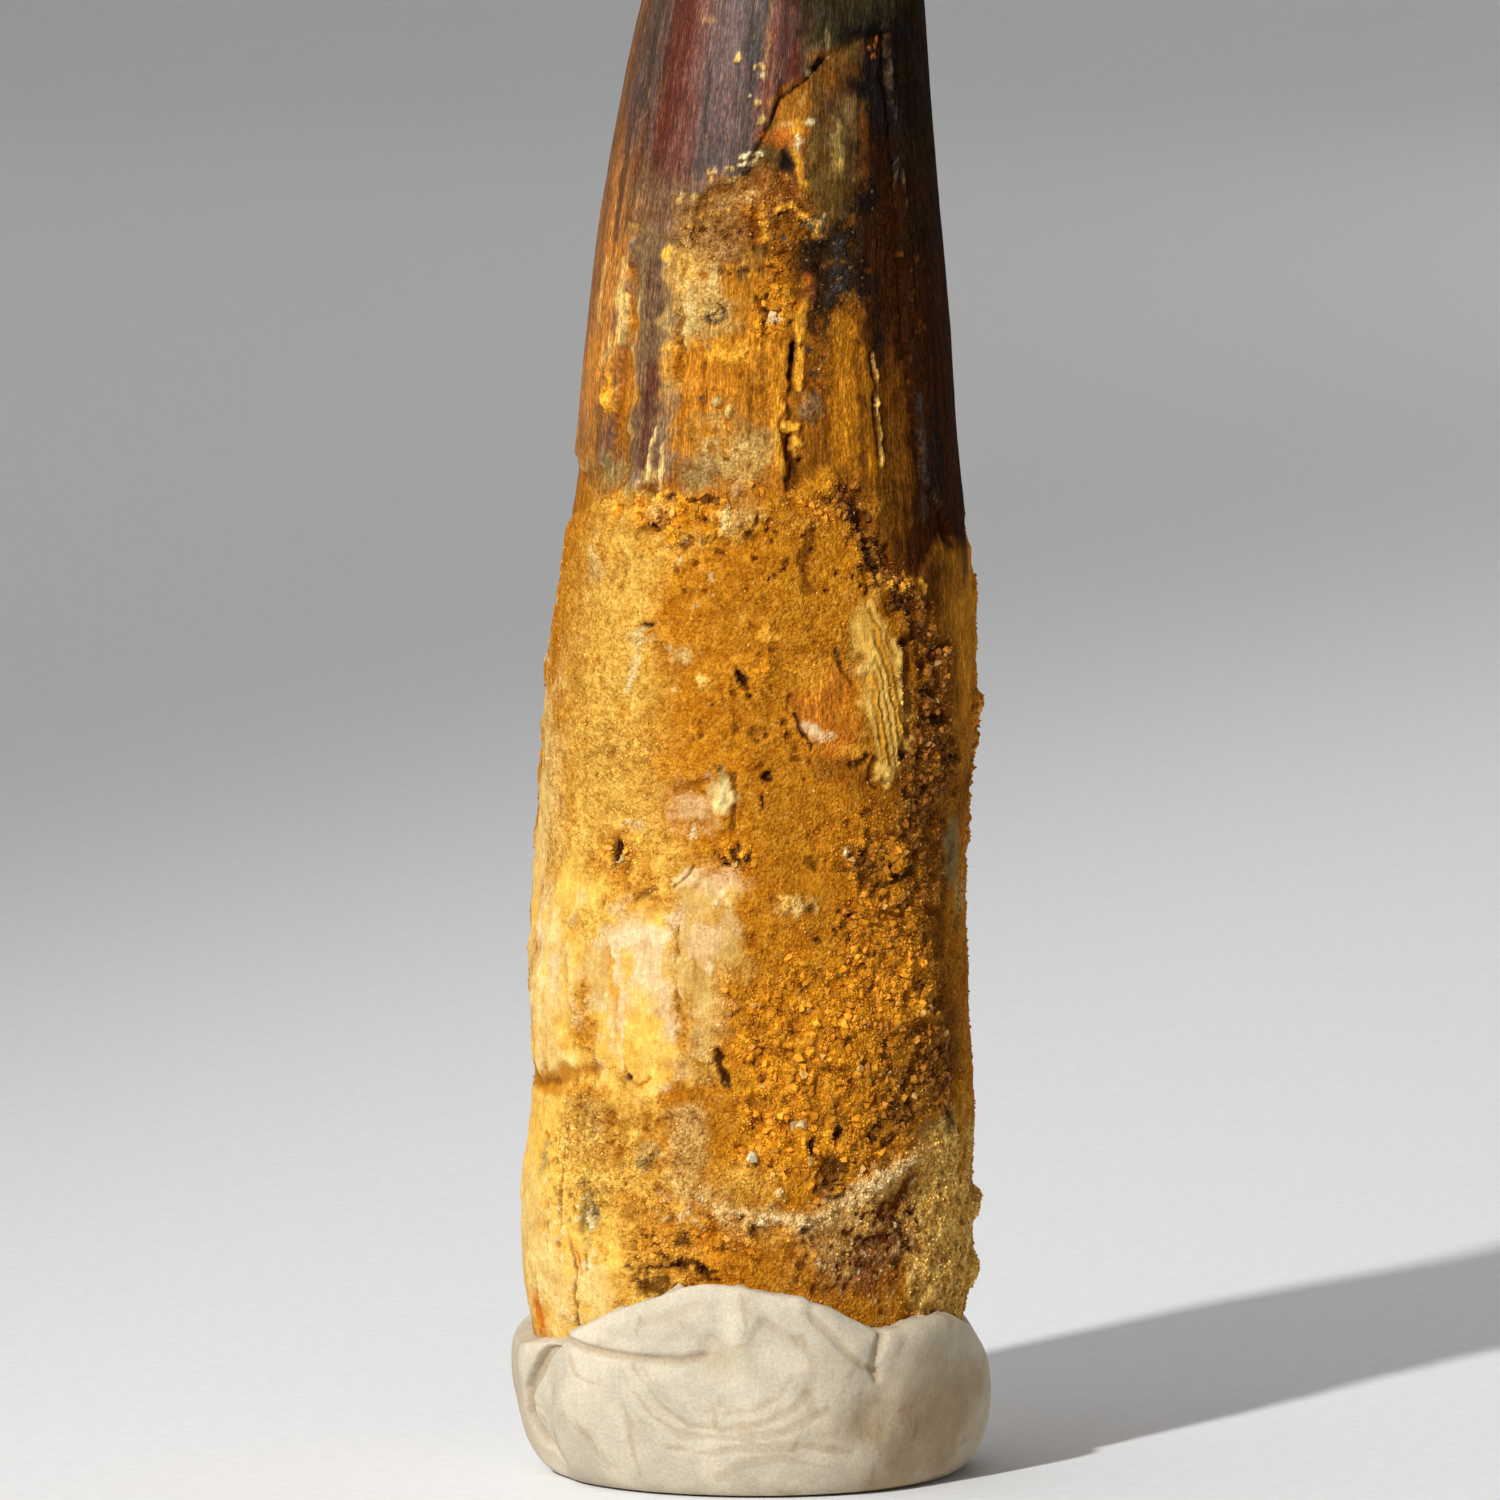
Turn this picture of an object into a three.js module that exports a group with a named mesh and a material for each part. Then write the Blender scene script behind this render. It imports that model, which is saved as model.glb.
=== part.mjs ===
// A fossil mosasaur tooth standing in a lump of modelling putty.
// Units are millimetres, +Z is up, and the origin is the centre of the putty's flat foot.
// The tooth's front, where its sand crust and bare bone show best, faces -Y.
// A place on either piece is an azimuth in degrees, 0 at the front and growing towards +X, and a height.
import * as THREE from "three";

const { clamp, degToRad, euclideanModulo, lerp, smoothstep } = THREE.MathUtils;

// Driving dimensions.
const SEGMENTS = 64;
const ROOT_END_HEIGHT = 2.2;
const CROWN_START_HEIGHT = 45;
const ENAMEL_THICKNESS = 0.25;
const TIP_HEIGHT = 95;
const ROW_SPACINGS = [
  { below: CROWN_START_HEIGHT, spacing: 1.5 },
  { below: 66, spacing: 2.1 },
  { below: TIP_HEIGHT, spacing: 3.6 },
];
const DEPTH_SHARE = 0.93;
const SOCKET_GAP = 0.3;
const LIP_THICKNESS = 0.45;
const FOOT_RADIUS = 8.9;
const BULGE_RADIUS = 11.5;
const PUTTY_DEPTH_SHARE = 0.97;

// The tooth's half width, seen from the front, against height. The root is full and the crown tapers.
const HALF_WIDTHS = [
  [ROOT_END_HEIGHT, 6.8],
  [4, 8.8],
  [5.6, 9.8],
  [8, 10.4],
  [12.5, 10.45],
  [17, 10.15],
  [26, 9.8],
  [35, 9.45],
  [44.5, 8.95],
  [53.7, 8.15],
  [62.9, 7.0],
  [70, 5.95],
  [80, 4.15],
  [88, 2.5],
  [92.5, 1.4],
  [94.2, 0.75],
  [TIP_HEIGHT, 0],
];

// How far the middle of the tooth stands to the right, and how far back, against height.
const LEAN_RIGHT = [
  [ROOT_END_HEIGHT, -0.4],
  [17, -0.25],
  [31, 0.05],
  [44.5, 0.5],
  [58, 0.72],
  [67.5, 1.3],
  [80, 2.6],
  [TIP_HEIGHT, 4.9],
];
const LEAN_BACK = [
  [ROOT_END_HEIGHT, 0],
  [45, 0],
  [67.5, 0.4],
  [TIP_HEIGHT, 2.4],
];

// The height down to which the enamel is whole, against azimuth. Below it the dentine lies bare.
const ENAMEL_EDGE = [
  [-180, 57],
  [-150, 52],
  [-125, 55],
  [-100, 49],
  [-70, 46.5],
  [-52, 47.5],
  [-45, 56.5],
  [-30, 57.6],
  [-10, 59.6],
  [0, 61.6],
  [18, 64.6],
  [30, 62],
  [45, 56],
  [60, 48],
  [85, 47],
  [115, 52],
  [140, 60],
  [160, 58.5],
  [180, 57],
];

// The height of the putty's wavy lip, against azimuth, closed round the tooth.
const LIP_HEIGHTS = [
  [-180, 8.3],
  [-150, 7.4],
  [-120, 7.0],
  [-90, 6.3],
  [-72, 6.4],
  [-57, 6.8],
  [-42, 8.0],
  [-25, 9.3],
  [-11, 10.0],
  [4, 9.6],
  [22, 8.7],
  [36, 7.4],
  [47, 7.9],
  [60, 7.9],
  [78, 6.7],
  [92, 5.9],
  [105, 6.4],
  [128, 7.8],
  [152, 8.9],
  [180, 8.3],
];

// Relief that stands out of the tooth, or lies in it where its rise is negative, at [azimuth, height].
// A mound is a soft dome and a plate has a flat top. Half sizes, across and along, follow the surface.
const TOOTH_RELIEF = {
  upperSandCrust: { form: "plate", at: [2, 38.6], half: [24, 6.6], rise: 0.3 },
  crustOnTheCrown: { form: "plate", at: [-10, 54.6], half: [4, 4.4], rise: 0.3 },
  squareGreyCrumb: { form: "plate", at: [-15, 47.8], half: [2.7, 2.3], rise: 0.4 },
  ledgeInTheWindow: { form: "plate", at: [26, 61], half: [2, 3.4], rise: 0.3 },
  fibrousSplinters: { form: "mound", at: [36, 36.5], half: [2.4, 5.2], rise: 0.5 },
  orangeHollow: { form: "mound", at: [20, 36.2], half: [2.8, 3.4], rise: -0.5 },
  openPit: { form: "mound", at: [-4, 37.1], half: [1.3, 1.8], rise: -1.1 },
  leftBonePlate: { form: "plate", at: [-66, 23.2], half: [3.4, 4.6], rise: 0.5 },
  middleBonePlate: { form: "plate", at: [-31, 22.6], half: [2.3, 4.6], rise: 0.5 },
  innerBonePlate: { form: "plate", at: [-9, 24], half: [1.8, 3.2], rise: 0.4 },
  rottedHollow: { form: "mound", at: [-36, 29.1], half: [2.8, 2.2], rise: -0.7 },
  smallHollow: { form: "mound", at: [-4, 28.2], half: [1.8, 1.6], rise: -0.4 },
  paleKnob: { form: "mound", at: [13, 26.8], half: [1.6, 1.6], rise: 0.35 },
  coarseSandBed: { form: "mound", at: [32, 19.5], half: [8, 6], rise: 0.4 },
  wornBand: { form: "mound", at: [42, 11.4], half: [6, 2.6], rise: -0.55 },
  creviceOverThePutty: { form: "mound", at: [-17, 10.8], half: [3, 1.5], rise: -0.9 },
  creamRidgeAtTheFoot: { form: "mound", at: [-58, 12], half: [3, 4], rise: 0.4 },
  upperRightKnob: { form: "mound", at: [86, 35.2], half: [1.7, 1.6], rise: 0.3 },
  lowerRightKnob: { form: "mound", at: [86, 12.4], half: [1.7, 1.5], rise: 0.35 },
  footRightKnob: { form: "mound", at: [78, 9.4], half: [1.7, 1.5], rise: 0.35 },
  leftRearCrust: { form: "plate", at: [-122, 31], half: [6, 10], rise: 0.4 },
  rearCrust: { form: "plate", at: [160, 24], half: [9, 12], rise: 0.45 },
  rearHollow: { form: "mound", at: [-172, 41], half: [3.5, 4.5], rise: -0.6 },
  rearPit: { form: "mound", at: [172, 27], half: [1.6, 2], rise: -0.9 },
  rightRearCrust: { form: "plate", at: [114, 36], half: [4.5, 8], rise: 0.35 },
  rightRearBonePlate: { form: "plate", at: [122, 17], half: [3.4, 5], rise: 0.45 },
};

// Long cracks, furrows and cutting edges, each along a run between two places, [azimuth, height].
const TOOTH_LINES = {
  grooveBetweenFlakes: { from: [9, 53], to: [7, 45.6], halfWidth: 1.1, rise: -0.8 },
  furrowOfLooseSand: { from: [24, 44.4], to: [49, 38.4], halfWidth: 1.5, rise: -0.8 },
  crackThroughTheCrown: { from: [37, 54], to: [38, 46], halfWidth: 0.9, rise: -0.35 },
  gapBetweenThePlates: { from: [-47, 27], to: [-47, 19], halfWidth: 1, rise: -0.4 },
  notchUnderTheLeftPlate: { from: [-95, 17.8], to: [-56, 18], halfWidth: 1.2, rise: -0.7 },
  rimOfTheSandBed: { from: [-20, 14.3], to: [64, 16.8], halfWidth: 1.3, rise: 0.4 },
  rearRootCrack: { from: [-143, 12], to: [-136, 42], halfWidth: 1.1, rise: -0.8 },
  frontCuttingEdge: { from: [50, 58], to: [52, 92], halfWidth: 1.2, rise: 0.25 },
  rearCuttingEdge: { from: [-129, 52], to: [-129, 92], halfWidth: 1.2, rise: 0.25 },
};

// Dents, lobes and folds pressed into the putty.
const PUTTY_LINES = {
  creaseBesideTheLeftLobe: { from: [-57, 7.2], to: [-68, 0.8], halfWidth: 1.5, rise: -0.8 },
  foldUnderTheLip: { from: [-52, 6.4], to: [-12, 6.9], halfWidth: 1, rise: -0.45 },
  valleyUnderTheNotch: { from: [37, 7.6], to: [28, 3.6], halfWidth: 1.6, rise: -0.5 },
  thumbDent: { from: [-8, 4.4], to: [10, 4.2], halfWidth: 2.2, rise: -0.3 },
  rearFold: { from: [150, 8], to: [118, 2.5], halfWidth: 1.5, rise: -0.7 },
  rearCrease: { from: [-150, 7], to: [-120, 1.5], halfWidth: 1.4, rise: -0.6 },
};

/** A smooth curve through [place, value] pairs, whose slope at each pair is that between its neighbours. */
function curveThrough(pairs) {
  const last = pairs.length - 1;
  const slopeAt = (i) => {
    const [before, after] = [pairs[Math.max(0, i - 1)], pairs[Math.min(last, i + 1)]];
    return (after[1] - before[1]) / (after[0] - before[0]);
  };
  return (place) => {
    const beyond = pairs.findIndex(([p]) => p > place);
    const i = beyond < 0 ? last - 1 : Math.max(0, beyond - 1);
    const [[p0, v0], [p1, v1]] = [pairs[i], pairs[i + 1]];
    const span = p1 - p0;
    const t = clamp((place - p0) / span, 0, 1);
    const [a, b] = [slopeAt(i) * span, slopeAt(i + 1) * span];
    return v0 + t * a + t * t * (3 * (v1 - v0) - 2 * a - b) + t * t * t * (2 * (v0 - v1) + a + b);
  };
}

const halfWidthAt = curveThrough(HALF_WIDTHS);
const leanRightAt = curveThrough(LEAN_RIGHT);
const leanBackAt = curveThrough(LEAN_BACK);
const enamelEdgeAt = curveThrough(ENAMEL_EDGE);
const lipHeightAt = curveThrough(LIP_HEIGHTS);

/** The smallest turn, in degrees, from one azimuth to another. */
function turn(from, to) {
  return euclideanModulo(to - from + 180, 360) - 180;
}

/** 1 in the middle of a form and 0 at its edge, domed or flat-topped. */
function fall(form, distance) {
  if (distance >= 1) return 0;
  if (form === "plate") return 1 - smoothstep(distance, 0.7, 1);
  return Math.cos((distance * Math.PI) / 2) ** 2;
}

/** How far the mounds and plates move the tooth's surface out at a place whose radius is about radius. */
function reliefAt(azimuth, height, radius) {
  return Object.values(TOOTH_RELIEF).reduce((sum, { form, at, half, rise }) => {
    const across = (degToRad(turn(at[0], azimuth)) * radius) / half[0];
    const along = (height - at[1]) / half[1];
    const distance = form === "plate" ? (across ** 4 + along ** 4) ** 0.25 : Math.hypot(across, along);
    return sum + rise * fall(form, distance);
  }, 0);
}

/** How far the given lines move the surface out at a place whose radius is about radius. */
function linesAt(lines, azimuth, height, radius) {
  const across = (degrees) => degToRad(degrees) * radius;
  return Object.values(lines).reduce((sum, { from, to, halfWidth, rise }) => {
    const run = new THREE.Vector2(across(turn(from[0], to[0])), to[1] - from[1]);
    const place = new THREE.Vector2(across(turn(from[0], azimuth)), height - from[1]);
    const share = clamp(place.dot(run) / run.lengthSq(), 0, 1);
    const distance = place.distanceTo(run.multiplyScalar(share));
    return sum + rise * fall("mound", distance / halfWidth);
  }, 0);
}

/** How far the bare dentine lies in, between the enamel's broken edge and the crust on the root. */
function enamelStep(azimuth, height) {
  const edge = enamelEdgeAt(azimuth);
  const belowEdge = 1 - smoothstep(height, edge - 0.9, edge + 0.9);
  const aboveCrust = smoothstep(height, CROWN_START_HEIGHT, CROWN_START_HEIGHT + 1.5);
  return -ENAMEL_THICKNESS * belowEdge * aboveCrust;
}

/** The low unevenness of a weathered root, fading into the smooth crown. */
function weathering(azimuth, height) {
  const a = degToRad(azimuth);
  const share = 1 - smoothstep(height, 40, 58);
  const swell = Math.sin(2 * a + 0.17 * height + 0.6) + 0.7 * Math.sin(3 * a - 0.31 * height + 2.1);
  const ripple = Math.sin(7 * a + 0.53 * height) + 0.8 * Math.sin(11 * a - 0.9 * height + 1.3);
  return 0.06 * share * (swell + ripple);
}

/** Radius of an oval of the given half width and depth, towards an azimuth. */
function ovalRadius(halfWidth, halfDepth, azimuth) {
  const a = degToRad(azimuth);
  return (halfWidth * halfDepth) / Math.hypot(halfDepth * Math.sin(a), halfWidth * Math.cos(a));
}

/** The tooth's radius about its own leaning middle, at a place below its tip. */
function toothRadius(azimuth, height) {
  const halfWidth = halfWidthAt(height);
  const radius = ovalRadius(halfWidth, halfWidth * DEPTH_SHARE, azimuth);
  const fade = smoothstep(height, ROOT_END_HEIGHT, 7) * smoothstep(radius, 0, 3);
  const relief = reliefAt(azimuth, height, radius) + linesAt(TOOTH_LINES, azimuth, height, radius);
  return radius + fade * (relief + enamelStep(azimuth, height) + weathering(azimuth, height));
}

/** A point at a radius from the tooth's leaning middle. */
function aboutTooth(azimuth, height, radius) {
  const a = degToRad(azimuth);
  return new THREE.Vector3(
    leanRightAt(height) + radius * Math.sin(a),
    leanBackAt(height) - radius * Math.cos(a),
    height,
  );
}

/** The heights of the tooth's rows, close together on the root and wider apart on the crown. */
function toothRows() {
  const rows = ROW_SPACINGS.flatMap(({ below, spacing }, band) => {
    const start = band === 0 ? ROOT_END_HEIGHT : ROW_SPACINGS[band - 1].below;
    const count = Math.round((below - start) / spacing);
    return Array.from({ length: count }, (_, i) => lerp(start, below, i / count));
  });
  return [...rows, TIP_HEIGHT - 1.2, TIP_HEIGHT - 0.4];
}

/** A lathe with this many points in its profile, each vertex put where place(azimuth, point) says. */
function shapedLathe(points, place) {
  const plain = Array.from({ length: points }, (_, j) => new THREE.Vector2(j, j));
  const geometry = new THREE.LatheGeometry(plain, SEGMENTS);
  const position = geometry.attributes.position;
  for (let i = 0; i <= SEGMENTS; i += 1) {
    const azimuth = -180 + (360 * (i % SEGMENTS)) / SEGMENTS;
    for (let j = 0; j < points; j += 1) {
      const p = place(azimuth, j);
      position.setXYZ(i * points + j, p.x, p.y, p.z);
    }
  }
  geometry.computeVertexNormals();
  return geometry;
}

/** The whole tooth: a flat root end, rows of the shaped surface, and the tip. */
function toothGeometry() {
  const rows = toothRows();
  const last = rows.length + 1;
  return shapedLathe(rows.length + 2, (azimuth, j) => {
    if (j === 0) return aboutTooth(azimuth, ROOT_END_HEIGHT, 0);
    if (j === last) return aboutTooth(azimuth, TIP_HEIGHT, 0);
    return aboutTooth(azimuth, rows[j - 1], toothRadius(azimuth, rows[j - 1]));
  });
}

/** A point at a radius from the upright axis through the foot. */
function aboutFoot(azimuth, height, radius) {
  const a = degToRad(azimuth);
  return new THREE.Vector3(radius * Math.sin(a), -PUTTY_DEPTH_SHARE * radius * Math.cos(a), height);
}

/** The point of the putty's outside that is a share of the way from its foot to its lip. */
function puttyOutside(azimuth, share) {
  const lip = lipHeightAt(azimuth);
  const lipRadius = toothRadius(azimuth, lip) + SOCKET_GAP + LIP_THICKNESS;
  const profile = new THREE.CubicBezierCurve3(
    aboutFoot(azimuth, 0, FOOT_RADIUS),
    aboutFoot(azimuth, 0.1, BULGE_RADIUS - 0.9),
    aboutFoot(azimuth, 0.72 * lip, BULGE_RADIUS),
    aboutTooth(azimuth, lip - 0.2, lipRadius),
  );
  const p = profile.getPoint(share);
  const free = smoothstep(share, 0, 0.25) * (1 - smoothstep(share, 0.75, 1));
  const radius = Math.hypot(p.x, p.y);
  return p.add(aboutFoot(azimuth, 0, free * linesAt(PUTTY_LINES, azimuth, p.z, radius)));
}

/** The putty: flat foot, bulging outside, rounded lip, and a socket that fits the tooth's root. */
function puttyGeometry() {
  const outsideSteps = 11;
  const socketSteps = 6;
  const socketFloor = ROOT_END_HEIGHT - SOCKET_GAP;
  const foot = [0, FOOT_RADIUS * 0.55].map((radius) => (azimuth) => aboutFoot(azimuth, 0, radius));
  const outside = Array.from({ length: outsideSteps + 1 }, (_, k) => (azimuth) =>
    puttyOutside(azimuth, k / outsideSteps),
  );
  const crest = (azimuth) => {
    const lip = lipHeightAt(azimuth);
    return aboutTooth(azimuth, lip, toothRadius(azimuth, lip) + SOCKET_GAP + 0.3 * LIP_THICKNESS);
  };
  const socket = Array.from({ length: socketSteps + 1 }, (_, k) => (azimuth) => {
    const top = lipHeightAt(azimuth) - 0.3;
    const height = lerp(top, ROOT_END_HEIGHT, k / socketSteps);
    return aboutTooth(azimuth, height, toothRadius(azimuth, height) + SOCKET_GAP);
  });
  const floor = [HALF_WIDTHS[0][1], 0].map((radius) => (azimuth) => aboutTooth(azimuth, socketFloor, radius));
  const stations = [...foot, ...outside, crest, ...socket, ...floor];
  return shapedLathe(stations.length, (azimuth, j) => stations[j](azimuth));
}

/** A named mesh with its own plain material. */
function piece(name, geometry, colour, roughness) {
  const material = new THREE.MeshStandardMaterial({ color: colour, roughness, metalness: 0 });
  const mesh = new THREE.Mesh(geometry, material);
  mesh.name = name;
  return mesh;
}

const specimen = new THREE.Group();
specimen.add(piece("tooth", toothGeometry(), 0xb8782a, 0.6));
specimen.add(piece("putty", puttyGeometry(), 0xddd0b6, 0.85));

export default specimen;
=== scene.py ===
"""A fossil reptile tooth standing in kneaded putty: its relief, crust, loose sand, finishes and studio.

Places on the tooth and on the putty are an azimuth in degrees, 0 at the front and growing to the right,
and a height in millimetres above the surface that the putty stands on.
"""

import logging
import math
from dataclasses import dataclass
from enum import Enum

import bmesh
import bpy
import numpy as np
from bpy.types import Material, Node, NodeSocket, NodeTree, Object
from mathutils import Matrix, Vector
from mathutils.bvhtree import BVHTree

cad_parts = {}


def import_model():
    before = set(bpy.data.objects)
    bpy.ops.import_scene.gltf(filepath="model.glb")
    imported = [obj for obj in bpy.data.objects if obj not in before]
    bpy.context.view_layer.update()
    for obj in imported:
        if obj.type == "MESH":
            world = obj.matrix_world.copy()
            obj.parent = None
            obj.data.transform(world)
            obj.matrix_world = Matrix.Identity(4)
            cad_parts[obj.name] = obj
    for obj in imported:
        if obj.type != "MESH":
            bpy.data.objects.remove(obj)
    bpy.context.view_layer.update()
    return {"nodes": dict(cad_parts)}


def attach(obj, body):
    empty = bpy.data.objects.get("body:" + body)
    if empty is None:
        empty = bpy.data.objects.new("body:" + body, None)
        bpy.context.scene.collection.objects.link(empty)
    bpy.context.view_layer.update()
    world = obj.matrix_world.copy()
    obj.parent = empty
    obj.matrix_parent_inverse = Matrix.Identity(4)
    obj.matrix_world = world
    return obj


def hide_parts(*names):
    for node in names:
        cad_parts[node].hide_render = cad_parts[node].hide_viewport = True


LOG = logging.getLogger("fossil_tooth")
MM = 0.001

TUBE_RADIUS = 10
HASH_PRIMES = (73856093, 19349663, 83492791, 2654435761, 1274126177)
# The powers by which red, green and blue darken, so that painted shade in furrows and hollows turns warm.
FURROW_WARMTH = np.array([0.8, 1.0, 1.3])
HOLLOW_WARMTH = np.array([0.8, 1.1, 1.6])
LAYERS = ("gloss", "grain", "fibre", "loose")

Place = tuple[float, float]
Colour = tuple[float, float, float]
Laid = dict[str, NodeSocket]


class Tint(Enum):
    """Colours of enamel, bone, sand and putty, as sRGB codes."""

    RUST_ENAMEL = "6E441C"
    ORANGE_ENAMEL = "A46725"
    BROWN_ENAMEL = "4B2F1F"
    RED_ENAMEL = "502013"
    ROSE_ENAMEL = "6A3E32"
    MAUVE_ENAMEL = "5C443C"
    SLATE_ENAMEL = "3B322B"
    OLIVE_ENAMEL = "2F2817"
    DARK_ENAMEL = "1D1205"
    BLACK = "191412"
    UMBER = "664C21"
    CHESTNUT = "704010"
    TAWNY = "915A21"
    MAUVE_BROWN = "442E1E"
    OLIVE_BROWN = "5F4826"
    TAN = "996D37"
    BURNT = "301707"
    BLUE_BLACK = "383836"
    STRIP_BROWN = "75593A"
    AMBER = "DB992D"
    GOLD_DENTINE = "AC6D16"
    ORANGE_DENTINE = "B1701D"
    BROWN_DENTINE = "804C11"
    DARK_DENTINE = "3A1B05"
    CREAM = "C59E56"
    GREY_CRUMB = "AC8F50"
    OCHRE = "BA7717"
    YELLOW_SAND = "D0A044"
    BROWN_SAND = "AD7018"
    # Darker sand, used mostly as painted shade in pits, cracks and grooves and on the side away from the
    # light.
    DEEP_SAND = "74450F"
    RED_SAND = "C8841A"
    SHADOW = "522D0C"
    BEIGE = "D6A954"
    PALE_RIM = "CAA866"
    CREAM_BONE = "DCB86E"
    PINK_BONE = "D8B785"
    YELLOW_BONE = "E2B250"
    PALE_BONE = "D6BD89"
    STRAW = "D5A84D"
    MAROON = "663015"
    RUST = "C06A1E"
    GREEN_GREY = "77744E"
    CHALK = "D4BD89"
    PUTTY = "C7BDA8"
    # Darker putty: the marbling, specks and stain edges, and painted shade in creases, hollows and on the
    # right side.
    PUTTY_SHADE = "9E8562"
    PUTTY_STAIN = "8A5434"

    @property
    def linear(self) -> Colour:
        """The colour in linear light."""
        channels = [int(self.value[i : i + 2], 16) / 255 for i in (0, 2, 4)]
        return tuple(c / 12.92 if c <= 0.04045 else ((c + 0.055) / 1.055) ** 2.4 for c in channels)


class Finish(Enum):
    """How glossy, grainy, fibrous and thick with loose grains a patch of surface is, each 0 to 1."""

    ENAMEL = (1.0, 0.0, 0.75, 0.0)
    WORN = (0.25, 0.1, 0.7, 0.0)
    DENTINE = (0.3, 0.3, 0.6, 0.0)
    BONE = (0.2, 0.22, 0.15, 0.0)
    CRUMBLED = (0.1, 0.7, 0.1, 0.14)
    SCABBY = (0.05, 1.0, 0.1, 0.35)
    CRUST = (0.0, 0.6, 0.0, 0.08)
    LOOSE = (0.0, 1.0, 0.0, 0.9)
    SANDSTONE = (0.0, 1.0, 0.0, 0.28)
    KNEADED = (0.1, 0.1, 0.0, 0.0)


# The members by their own names, in order, for the lists of marks.
(
    RUST_ENAMEL, ORANGE_ENAMEL, BROWN_ENAMEL, RED_ENAMEL, ROSE_ENAMEL, MAUVE_ENAMEL, SLATE_ENAMEL,
    OLIVE_ENAMEL, DARK_ENAMEL, BLACK, UMBER, CHESTNUT, TAWNY, MAUVE_BROWN, OLIVE_BROWN, TAN,
    BURNT, BLUE_BLACK, STRIP_BROWN, AMBER, GOLD_DENTINE, ORANGE_DENTINE, BROWN_DENTINE, DARK_DENTINE,
    CREAM, GREY_CRUMB, OCHRE, YELLOW_SAND, BROWN_SAND, DEEP_SAND, RED_SAND, SHADOW,
    BEIGE, PALE_RIM, CREAM_BONE, PINK_BONE, YELLOW_BONE, PALE_BONE, STRAW, MAROON, RUST,
    GREEN_GREY, CHALK, PUTTY, PUTTY_SHADE, PUTTY_STAIN,
) = Tint
ENAMEL, WORN, DENTINE, BONE, CRUMBLED, SCABBY, CRUST, LOOSE, SANDSTONE, KNEADED = Finish


def smooth_step(low: float, high: float, value: np.ndarray) -> np.ndarray:
    """Rise from 0 at low to 1 at high with flat ends.

    Args:
        low: Where the rise starts.
        high: Where the rise ends.
        value: The numbers to map.

    Returns:
        The mapped numbers.
    """
    share = np.clip((value - low) / (high - low), 0.0, 1.0)
    return share * share * (3.0 - 2.0 * share)


def lattice_noise(points: np.ndarray, seed: int) -> np.ndarray:
    """Smooth random values with one bump to a unit, the same at every run.

    Args:
        points: Places in space, one row each.
        seed: Picks one of many patterns.

    Returns:
        One value in -1 to 1 for each point.
    """
    x_prime, y_prime, z_prime, seed_prime, last_prime = HASH_PRIMES
    cell = np.floor(points)
    share = points - cell
    share = share * share * (3.0 - 2.0 * share)
    cell = cell.astype(np.int64)
    total = np.zeros(len(points))
    for corner in range(8):
        step = np.array([corner & 1, corner >> 1 & 1, corner >> 2 & 1])
        x, y, z = (cell + step).T
        code = (x * x_prime) ^ (y * y_prime) ^ (z * z_prime) ^ (seed * seed_prime)
        code = ((code ^ (code >> 13)) * last_prime) & 0xFFFFFFFF
        value = ((code ^ (code >> 16)) & 0xFFFF) / 32767.5 - 1.0
        total += value * np.prod(np.where(step == 1, share, 1.0 - share), axis=1)
    return total


def cloud(points: np.ndarray, size: float, seed: int, octaves: int = 3) -> np.ndarray:
    """Layered noise whose largest bumps are of a given size.

    Args:
        points: Places in space, one row each.
        size: Width of the largest bumps, in the points' unit.
        seed: Picks one of many patterns.
        octaves: How many layers, each half the size of the last.

    Returns:
        One value for each point, mostly in -1 to 1.
    """
    layers = (0.5**k * lattice_noise(points * (2**k / size) + 17.3 * k, seed + k) for k in range(octaves))
    return sum(layers)


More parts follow.
